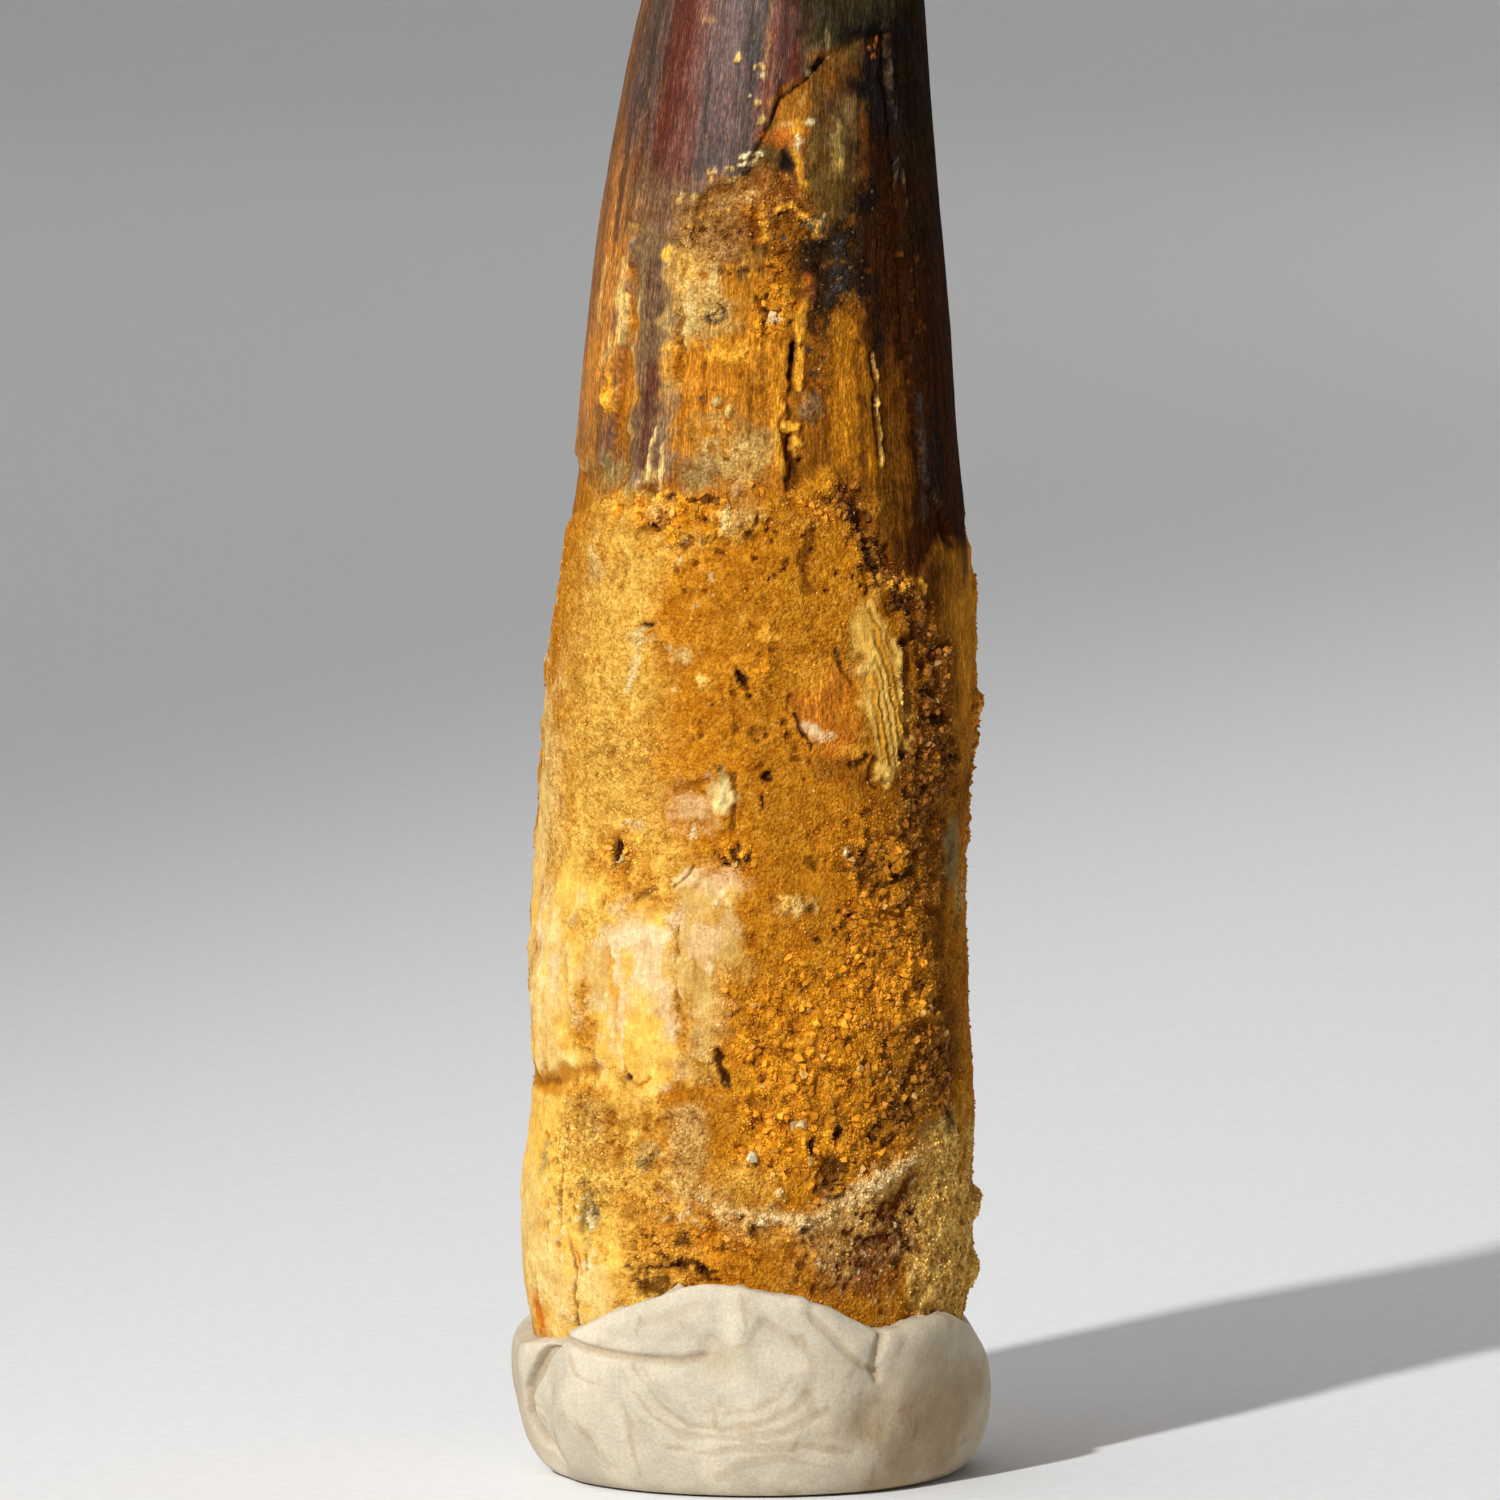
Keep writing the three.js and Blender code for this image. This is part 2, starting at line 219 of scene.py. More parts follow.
@dataclass
class Skin:
    """The places of a surface, in millimetres and degrees, and what has been laid on it so far."""

    azimuth: np.ndarray
    height: np.ndarray
    radius: np.ndarray
    points: np.ndarray
    jitter: np.ndarray
    tint: np.ndarray
    finish: np.ndarray
    relief: np.ndarray

    @classmethod
    def bare(
        cls, azimuth: np.ndarray, height: np.ndarray, radius: np.ndarray, points: np.ndarray, unrest: float
    ) -> "Skin":
        """A skin with nothing on it yet.

        Args:
            azimuth: Degrees round from the front of each place.
            height: Millimetres up of each place.
            radius: Millimetres out from the middle of each place.
            points: The places in space.
            unrest: Millimetres by which the edges of marks stray.

        Returns:
            The skin.
        """
        count = len(points)
        strays = [unrest * cloud(points, 0.55, seed) for seed in (31, 32)]
        blank = (np.zeros((count, 3)), np.zeros((count, 4)), np.zeros(count))
        return cls(azimuth, height, radius, points, np.column_stack(strays), *blank)

    @property
    def straight(self) -> np.ndarray:
        """Each place as if the surface were an upright tube, so that fibres follow its length."""
        turn = np.radians(self.azimuth)
        return np.column_stack([TUBE_RADIUS * np.sin(turn), -TUBE_RADIUS * np.cos(turn), self.height])

    def offset(self, place: Place, index: np.ndarray) -> tuple[np.ndarray, np.ndarray]:
        """How far the indexed places lie from a place, across and along the surface.

        Args:
            place: Azimuth and height to measure from.
            index: Which places of the skin to measure.

        Returns:
            Millimetres to the right, and millimetres up.
        """
        turn = (self.azimuth[index] - place[0] + 180) % 360 - 180
        stray_across, stray_along = self.jitter[index].T
        across = np.radians(turn) * self.radius[index] + stray_across
        return across, self.height[index] - place[1] + stray_along

    def paint(self, cover: np.ndarray, tint: Tint | None, finish: Finish | None, index: np.ndarray) -> None:
        """Blend a colour and a finish in, by how much they cover each indexed place.

        Args:
            cover: How much of each indexed place is covered, 0 to 1.
            tint: The colour to blend in, if any.
            finish: The finish to blend in, if any.
            index: Which places of the skin to paint.
        """
        share = cover[:, None]
        if tint is not None:
            self.tint[index] += share * (np.array(tint.linear) - self.tint[index])
        if finish is not None:
            self.finish[index] += share * (np.array(finish.value) - self.finish[index])


class Mark:
    """One thing to lay on a skin: its tint, rise, strength, the softness of its edge, and its finish."""

    tint: Tint | None
    rise: float
    strength: float
    soft: float
    ragged: float
    finish: Finish | None

    def reach(self, skin: Skin, index: np.ndarray) -> np.ndarray:
        """Distance from the mark's middle at each indexed place, 1 at its edge."""
        raise NotImplementedError

    def near(self, skin: Skin) -> np.ndarray:
        """Indices of the places that the mark may touch."""
        raise NotImplementedError

    @property
    def grain(self) -> float:
        """Size, in millimetres, of the bites in the mark's edge."""
        raise NotImplementedError

    def lay(self, skin: Skin) -> None:
        """Lay the mark on a skin: its colour and finish, and its rise in the relief.

        Args:
            skin: The skin, changed in place.
        """
        index = self.near(skin)
        if not len(index):
            return
        bites = cloud(skin.points[index], self.grain, seed=len(index) % 97)
        reach = self.reach(skin, index) + self.ragged * bites
        cover = 1.0 - smooth_step(1.0 - self.soft, 1.0 + self.soft, reach)
        skin.paint(self.strength * cover, self.tint, self.finish, index)
        skin.relief[index] += self.rise * cover


@dataclass(frozen=True)
class Patch(Mark):
    """An oval or square area at a place, turned by tilt degrees."""

    at: Place
    half: Place
    tint: Tint | None = None
    rise: float = 0.0
    strength: float = 1.0
    soft: float = 0.45
    ragged: float = 0.5
    finish: Finish | None = None
    tilt: float = 0.0
    square: bool = False

    @property
    def grain(self) -> float:
        """Size, in millimetres, of the bites in the patch's edge."""
        return float(np.clip(0.8 * min(self.half), 0.25, 1.6))

    def near(self, skin: Skin) -> np.ndarray:
        """Indices of the places within twice the patch's size."""
        across, along = skin.offset(self.at, np.arange(len(skin.azimuth)))
        return np.flatnonzero(np.hypot(across, along) < 2.0 * max(self.half))

    def turned(self, skin: Skin, index: np.ndarray) -> tuple[np.ndarray, np.ndarray]:
        """Millimetres from the patch's middle to the indexed places, across and along its tilt.

        Args:
            skin: The skin.
            index: Which places of the skin to measure.

        Returns:
            Millimetres across, and millimetres along.
        """
        across, along = skin.offset(self.at, index)
        c, s = math.cos(math.radians(self.tilt)), math.sin(math.radians(self.tilt))
        return c * across + s * along, c * along - s * across

    def reach(self, skin: Skin, index: np.ndarray) -> np.ndarray:
        """Distance from the patch's middle, 1 at its outline.

        Args:
            skin: The skin.
            index: Which places of the skin to measure.

        Returns:
            One distance for each indexed place.
        """
        across, along = self.turned(skin, index)
        u, v = across / self.half[0], along / self.half[1]
        return (u**4 + v**4) ** 0.25 if self.square else np.hypot(u, v)


@dataclass(frozen=True)
class Fibres(Patch):
    """A patch of split bone or worn dentine, ridged by fibres that follow its tilt."""

    spacing: float = 0.3
    depth: float = 0.1
    fibre_shading: float = 0.35

    def lay(self, skin: Skin) -> None:
        """Lay the patch, then ridge it, with painted shade in the furrows between its fibres and painted
        light on the ridges.

        Args:
            skin: The skin, changed in place.
        """
        super().lay(skin)
        index = self.near(skin)
        u, v = self.turned(skin, index)
        drawn = np.column_stack([u / self.spacing, v / (9 * self.spacing), skin.radius[index] * 0.02])
        fibre = cloud(drawn, 1.0, seed=21, octaves=2)
        cover = 1.0 - smooth_step(0.7, 1.1, self.reach(skin, index))
        skin.relief[index] += self.depth * cover * fibre
        # Painted shade in the furrows and painted light on the ridges, following the fibres' relief.
        skin.tint[index] *= (1 + self.fibre_shading * cover * fibre)[:, None] ** FURROW_WARMTH


@dataclass(frozen=True)
class Seam(Mark):
    """A crack, ridge, groove or stripe that runs through several places and wanders a little."""

    path: tuple[Place, ...]
    width: float
    tint: Tint | None = None
    rise: float = 0.0
    strength: float = 1.0
    soft: float = 0.45
    ragged: float = 0.5
    finish: Finish | None = None
    wander: float = 0.15

    @property
    def grain(self) -> float:
        """Size, in millimetres, of the bites in the seam's edge."""
        return max(0.3, self.width)

    def near(self, skin: Skin) -> np.ndarray:
        """Indices of the places within a few widths of the seam."""
        everywhere = np.arange(len(skin.azimuth))
        return np.flatnonzero(self.distance(skin, everywhere) < 2.0 * self.width + self.wander)

    def distance(self, skin: Skin, index: np.ndarray) -> np.ndarray:
        """Millimetres from each indexed place to the seam's straight runs.

        Args:
            skin: The skin.
            index: Which places of the skin to measure.

        Returns:
            One distance for each indexed place.
        """
        best = np.full(len(index), np.inf)
        for start, end in zip(self.path, self.path[1:]):
            across, along = skin.offset(start, index)
            turn = (end[0] - start[0] + 180) % 360 - 180
            run_across = math.radians(turn) * skin.radius[index]
            run_along = end[1] - start[1]
            share = (across * run_across + along * run_along) / (run_across**2 + run_along**2 + 1e-9)
            share = np.clip(share, 0.0, 1.0)
            best = np.minimum(best, np.hypot(across - share * run_across, along - share * run_along))
        return best

    def reach(self, skin: Skin, index: np.ndarray) -> np.ndarray:
        """Distance from the seam's wandering middle, 1 at its edge."""
        drift = self.wander * cloud(skin.points[index], 1.6, seed=11)
        return np.abs(self.distance(skin, index) + drift) / self.width


@dataclass(frozen=True)
class Flecks(Mark):
    """Scattered crumbs of a given size about a place."""

    at: Place
    spread: Place
    count: int
    size: float
    seed: int
    tint: Tint | None = None
    rise: float = 0.0
    strength: float = 1.0
    soft: float = 0.45
    ragged: float = 0.5
    finish: Finish | None = None

    @property
    def grain(self) -> float:
        """Size, in millimetres, of the bites in a fleck's edge."""
        return 0.25

    def near(self, skin: Skin) -> np.ndarray:
        """Indices of the places within the flecks' spread.

        Args:
            skin: The skin.

        Returns:
            The indices.
        """
        across, along = skin.offset(self.at, np.arange(len(skin.azimuth)))
        reach_across, reach_along = (s + 3 * self.size for s in self.spread)
        return np.flatnonzero((np.abs(across) < reach_across) & (np.abs(along) < reach_along))

    def reach(self, skin: Skin, index: np.ndarray) -> np.ndarray:
        """Distance from the nearest fleck's middle, 1 at its edge.

        Args:
            skin: The skin.
            index: Which places of the skin to measure.

        Returns:
            One distance for each indexed place.
        """
        pick = np.random.default_rng(self.seed)
        across, along = skin.offset(self.at, index)
        best = np.full(len(index), np.inf)
        for _ in range(self.count):
            x, y = pick.uniform(-1, 1, 2) * self.spread
            size = self.size * pick.uniform(0.6, 1.3)
            best = np.minimum(best, np.hypot(across - x, along - y) / size)
        return best


ENAMEL_EDGE: tuple[Place, ...] = (
    (-180, 57), (-172, 55.4), (-163, 55.8), (-156, 53), (-147, 52.6), (-141, 54.2), (-131, 54.8),
    (-122, 53.4), (-114, 50.6), (-104, 49.6), (-93, 47), (-75, 46), (-57, 46.5), (-54, 56.9), (-41, 56.6),
    (-29.5, 56.4), (-28, 58.7), (-22, 59), (-15, 59.1), (-10, 59.6), (-6, 61), (-4, 61.5), (-1, 62.6),
    (1, 63.1), (8, 63.5), (13, 64.1), (18, 64.8), (22, 65.2), (30, 65.4), (44, 66), (49, 65.8), (49.5, 61.5),
    (51, 60), (53, 52), (57, 46), (75, 42), (100, 45), (120, 54), (140, 60), (160, 58.5), (180, 57),
)
CRUST_TOP: tuple[Place, ...] = (
    (-180, 47), (-150, 45), (-120, 43), (-95, 43), (-75, 44), (-60, 44.6), (-41, 45.3), (-28, 45.1),
    (-10, 45), (5, 45.1), (13, 46), (22, 45.9), (28, 44.9), (33, 43.6), (38, 42.4), (45, 41.4), (52, 41.4),
    (60, 42.4), (80, 42.8), (100, 43), (130, 46), (180, 47),
)
ENAMEL_TINTS: tuple[tuple[float, Tint], ...] = (
    (-180, BROWN_ENAMEL), (-140, RED_ENAMEL), (-105, RUST_ENAMEL), (-82, RUST_ENAMEL),
    (-70, BROWN_ENAMEL), (-61, MAUVE_ENAMEL), (-54, BROWN_ENAMEL), (-45, RED_ENAMEL),
    (-37, ROSE_ENAMEL), (-29, MAUVE_ENAMEL), (-20, MAUVE_ENAMEL), (-11, SLATE_ENAMEL),
    (-4, ROSE_ENAMEL), (4, RED_ENAMEL), (13, SLATE_ENAMEL), (24, OLIVE_ENAMEL),
    (42, DARK_ENAMEL), (95, DARK_ENAMEL), (130, RED_ENAMEL), (180, BROWN_ENAMEL),
)
# Round the right side the crust darkens at 58 to 68 degrees, partly its own browner colour and partly painted
# shade away from the light, and lightens again beyond as painted fill light from the right.
CRUST_TINTS_WITH_SHADE: tuple[tuple[float, Tint], ...] = (
    (-180, OCHRE), (-120, BROWN_SAND), (-80, OCHRE), (-52, YELLOW_SAND),
    (-28, YELLOW_SAND), (-12, OCHRE), (10, BROWN_SAND), (35, OCHRE),
    (58, DEEP_SAND), (68, DEEP_SAND), (80, BROWN_SAND), (130, BROWN_SAND),
    (180, OCHRE),
)
WINDOW_TINTS: tuple[tuple[float, Tint], ...] = (
    (-180, BROWN_DENTINE), (-60, TAWNY), (-20, TAWNY), (-6, OLIVE_BROWN), (1, UMBER),
    (5, TAWNY), (12, CHESTNUT), (16, UMBER), (22, UMBER),
    (26, UMBER), (33, UMBER), (37, BROWN_ENAMEL), (42, DARK_ENAMEL), (52, BURNT),
    (90, BURNT), (130, BROWN_DENTINE), (180, BROWN_DENTINE),
)
DENTINE_TINTS: tuple[tuple[float, Tint], ...] = (
    (-180, BROWN_DENTINE), (-90, BROWN_DENTINE), (-62, ORANGE_DENTINE),
    (-25, ORANGE_DENTINE), (0, ORANGE_DENTINE), (16, BROWN_DENTINE), (28, GOLD_DENTINE),
    (36, BROWN_DENTINE), (46, DARK_DENTINE), (100, DARK_DENTINE), (140, BROWN_DENTINE),
    (180, BROWN_DENTINE),
)

# Marks in the order they are laid. First come a mark's own columns: place and half sizes for Patch, path and
# half width for Seam, and place, spread, count, size and seed for Flecks. Its tint, rise, strength, softness,
# raggedness and finish follow.
UPPER_CROWN: tuple[Mark, ...] = (
    Patch((70, 62), (5.5, 30), None, 0, 1, 0.2, 0.3, WORN),
    Patch((68, 50), (4.2, 8), BURNT, 0, 1, 0.6, 0.5, WORN),
    Patch((-72, 52), (2.9, 6.4), ORANGE_ENAMEL, soft=0.6),
    Patch((-71, 58.5), (1.6, 2.2), ORANGE_ENAMEL, 0, 0.4, 0.9),
    Seam(((-80, 62), (-79, 57), (-78, 50)), 0.7, RUST_ENAMEL, 0, 0.7, 0.7),
    Seam(((-66, 62), (-65, 58.5), (-65, 56)), 0.22, BROWN_ENAMEL, 0, 0.8, 0.6),
    Seam(((-61, 68), (-60.5, 65), (-61, 62.5)), 0.4, OLIVE_ENAMEL, 0, 0.6, 0.8),
    Seam(((-59, 60), (-58, 57)), 0.3, RED_ENAMEL, 0, 0.6, 0.7),
    Seam(((-45, 67), (-43, 64), (-46, 61.5)), 0.5, RED_ENAMEL, 0, 0.8, 0.7),
    Seam(((-47, 62), (-50, 59.5), (-52, 57.5)), 0.35, RED_ENAMEL, 0, 0.5, 0.7),
    Seam(((-36.8, 66.8), (-34.5, 66.5), (-31.5, 66.3)), 0.07, CREAM, 0, 0.4, 0.8),
    Seam(((-28, 64.2), (-27.6, 61.4)), 0.07, BLACK, 0, 0.6, 0.8),
    Seam(((-5.4, 67), (-5, 65), (-4.8, 63.6)), 0.06, CREAM, 0, 0.3, 0.8),
    Seam(((-12, 66.6), (-12, 65), (-10.5, 63)), 0.2, BLACK, 0, 0.55, 0.8),
    Patch((-43, 58.1), (2.3, 1.2), STRIP_BROWN, 0, 0.55, 0.9),
    Patch((-33, 58), (0.6, 0.9), SLATE_ENAMEL, 0, 0.7, 0.7),
    Patch((-26, 60.4), (0.9, 0.9), SLATE_ENAMEL, 0, 0.6, 0.8),
    Patch((6, 64.9), (0.5, 0.8), RED_ENAMEL, 0, 0.7, 0.7),
    Patch((13, 65.4), (0.42, 0.9), OLIVE_BROWN, 0, 0.7, 0.6),
    Patch((24, 66), (1.7, 0.6), OLIVE_ENAMEL, 0, 1, 0.6, 0.5, WORN),
    Patch((34, 67.6), (2.6, 1.0), OLIVE_ENAMEL, 0, 1, 0.5, 0.5, WORN),
    Seam(((28, 65.9), (45, 65.9), (62, 65.8)), 0.32, BLACK, soft=0.6),
    # The window where the enamel has flaked off the dentine.
    Patch((24, 64), (1.0, 0.8), CHESTNUT, soft=0.7),
    Patch((20.5, 62.2), (0.8, 1.6), MAUVE_BROWN, 0, 0.8, 0.6),
    Patch((8, 62.3), (1.1, 1.2), ORANGE_DENTINE, 0, 0.5, 0.5, 0.5, DENTINE),
    Patch((3, 61.2), (1.0, 0.4), RUST, 0, 0.6, 0.6, 0.5, CRUMBLED),
    Patch((-1.5, 59.8), (1.0, 1.1), OLIVE_BROWN, 0.06, 1, 0.6, 0.6, CRUMBLED),
    Seam(((20.4, 65.9), (20.2, 65.2), (20.8, 64.8)), 0.06, PALE_RIM, 0, 0.25, 0.8),
    Seam(((25.5, 62), (26.5, 60.6), (27, 59.6)), 0.3, GREY_CRUMB, 0, 0.5, 0.8),
    Seam(((30, 62.8), (30.4, 60.8), (31, 59)), 0.16, STRIP_BROWN, 0, 0.7, 0.7),
    Patch((27, 60), (0.16, 0.3), STRAW, 0, 0.6, 0.7),
    Patch((43, 63), (1.2, 3.0), BLACK, 0, 1, 0.6, 0.7, WORN),
    Patch((44, 59.4), (1.1, 1.8), BURNT, 0, 0.8, 0.6, 0.7, DENTINE),
    Seam(((37, 62.6), (37.4, 60.6), (37.6, 58.8)), 0.22, CHESTNUT, 0, 0.6, 0.8),
    Flecks((43.5, 65), (0.5, 0.5), 8, 0.08, 2, RUST, 0, 0.6),
    # Painted shadow that the broken enamel edge casts onto the dentine below it.
    Seam(((-6.6, 61.2), (-1.8, 61.8), (0.2, 62.7), (3, 63.1), (8, 63.4), (13, 63.9), (17.5, 64.6)), 0.1,
         BLACK, -0.12, 0.9, 0.7, 0.7),
    Seam(((9.6, 62), (9.4, 61), (10.2, 59.9), (12, 58.9)), 0.24, AMBER, 0, 0.8, 0.6),
    Patch((10.1, 60.95), (0.2, 0.32), CHALK, 0.06, 1, 0.6),
    Patch((14.4, 61.8), (0.16, 0.13), CHALK, 0.04, 0.7, 0.6),
    Patch((5.2, 61.7), (0.36, 0.13), CREAM, 0, 0.5, 0.7),
    Patch((10.8, 62.8), (0.12, 0.26), CREAM, 0, 0.6, 0.7),
    Patch((6, 59.5), (0.4, 1.05), BLACK, -0.16, 1, 0.45, 0.35, WORN, tilt=12),
    Patch((7.4, 58.9), (0.2, 0.3), BLUE_BLACK, -0.05, 1, 0.7),
    Flecks((4, 59.4), (0.2, 0.3), 3, 0.06, 4, CHALK, 0, 0.7),
    Seam(((49, 65.6), (48.2, 64.4), (49.2, 63.2), (50.6, 62), (52.2, 60.8), (53.6, 59.2), (55, 58)), 0.045,
         STRIP_BROWN, 0.05, 0.35, 0.7, 0.9),
    Seam(((47.6, 65.6), (46.8, 64.4), (47.8, 63.2), (49.2, 62), (50.8, 60.8), (52.2, 59.2)), 0.14,
         BLACK, -0.12, 1, 0.7),
    # Crumbs of pale crust along the broken enamel.
    Flecks((-16, 64.7), (0.05, 0.05), 1, 0.14, 3, CREAM, 0.05),
    Flecks((-8.6, 64.3), (0.24, 0.14), 4, 0.1, 10, CREAM, 0.05, 0.8),
    Patch((-6.2, 63.85), (0.17, 0.2), CHALK, 0.08, ragged=0.7),
    Flecks((-9.6, 63.1), (0.14, 0.1), 3, 0.08, 11, CHALK, 0.05, 0.8),
    Patch((-6.6, 62.7), (0.13, 0.18), CREAM, 0.07, ragged=0.7),
    Patch((-5.6, 62), (0.18, 0.14), CREAM, 0.05, 0.8, 0.45, 0.7),
    Patch((13.2, 64.1), (0.22, 0.12), CHALK, 0.06, 0.9, 0.45, 0.7),
    Patch((-11.5, 59.7), (0.4, 0.3), BLUE_BLACK, -0.08, 0.8, 0.6),
    Flecks((-10.3, 60.2), (0.6, 0.22), 12, 0.1, 5, CHALK, 0.06),
    Flecks((-14.4, 59.5), (0.3, 0.34), 7, 0.09, 6, CREAM, 0.06),
    Flecks((-9, 59.3), (0.3, 0.14), 4, 0.08, 12, CREAM, 0.05),
    Flecks((-22.6, 59.4), (0.2, 0.3), 5, 0.09, 7, CREAM, 0.05),
    Flecks((-33.8, 58.4), (0.2, 0.22), 5, 0.11, 8, CREAM, 0.06),
    Flecks((-30, 58.4), (0.2, 0.16), 4, 0.12, 9, CREAM, 0.06),
)

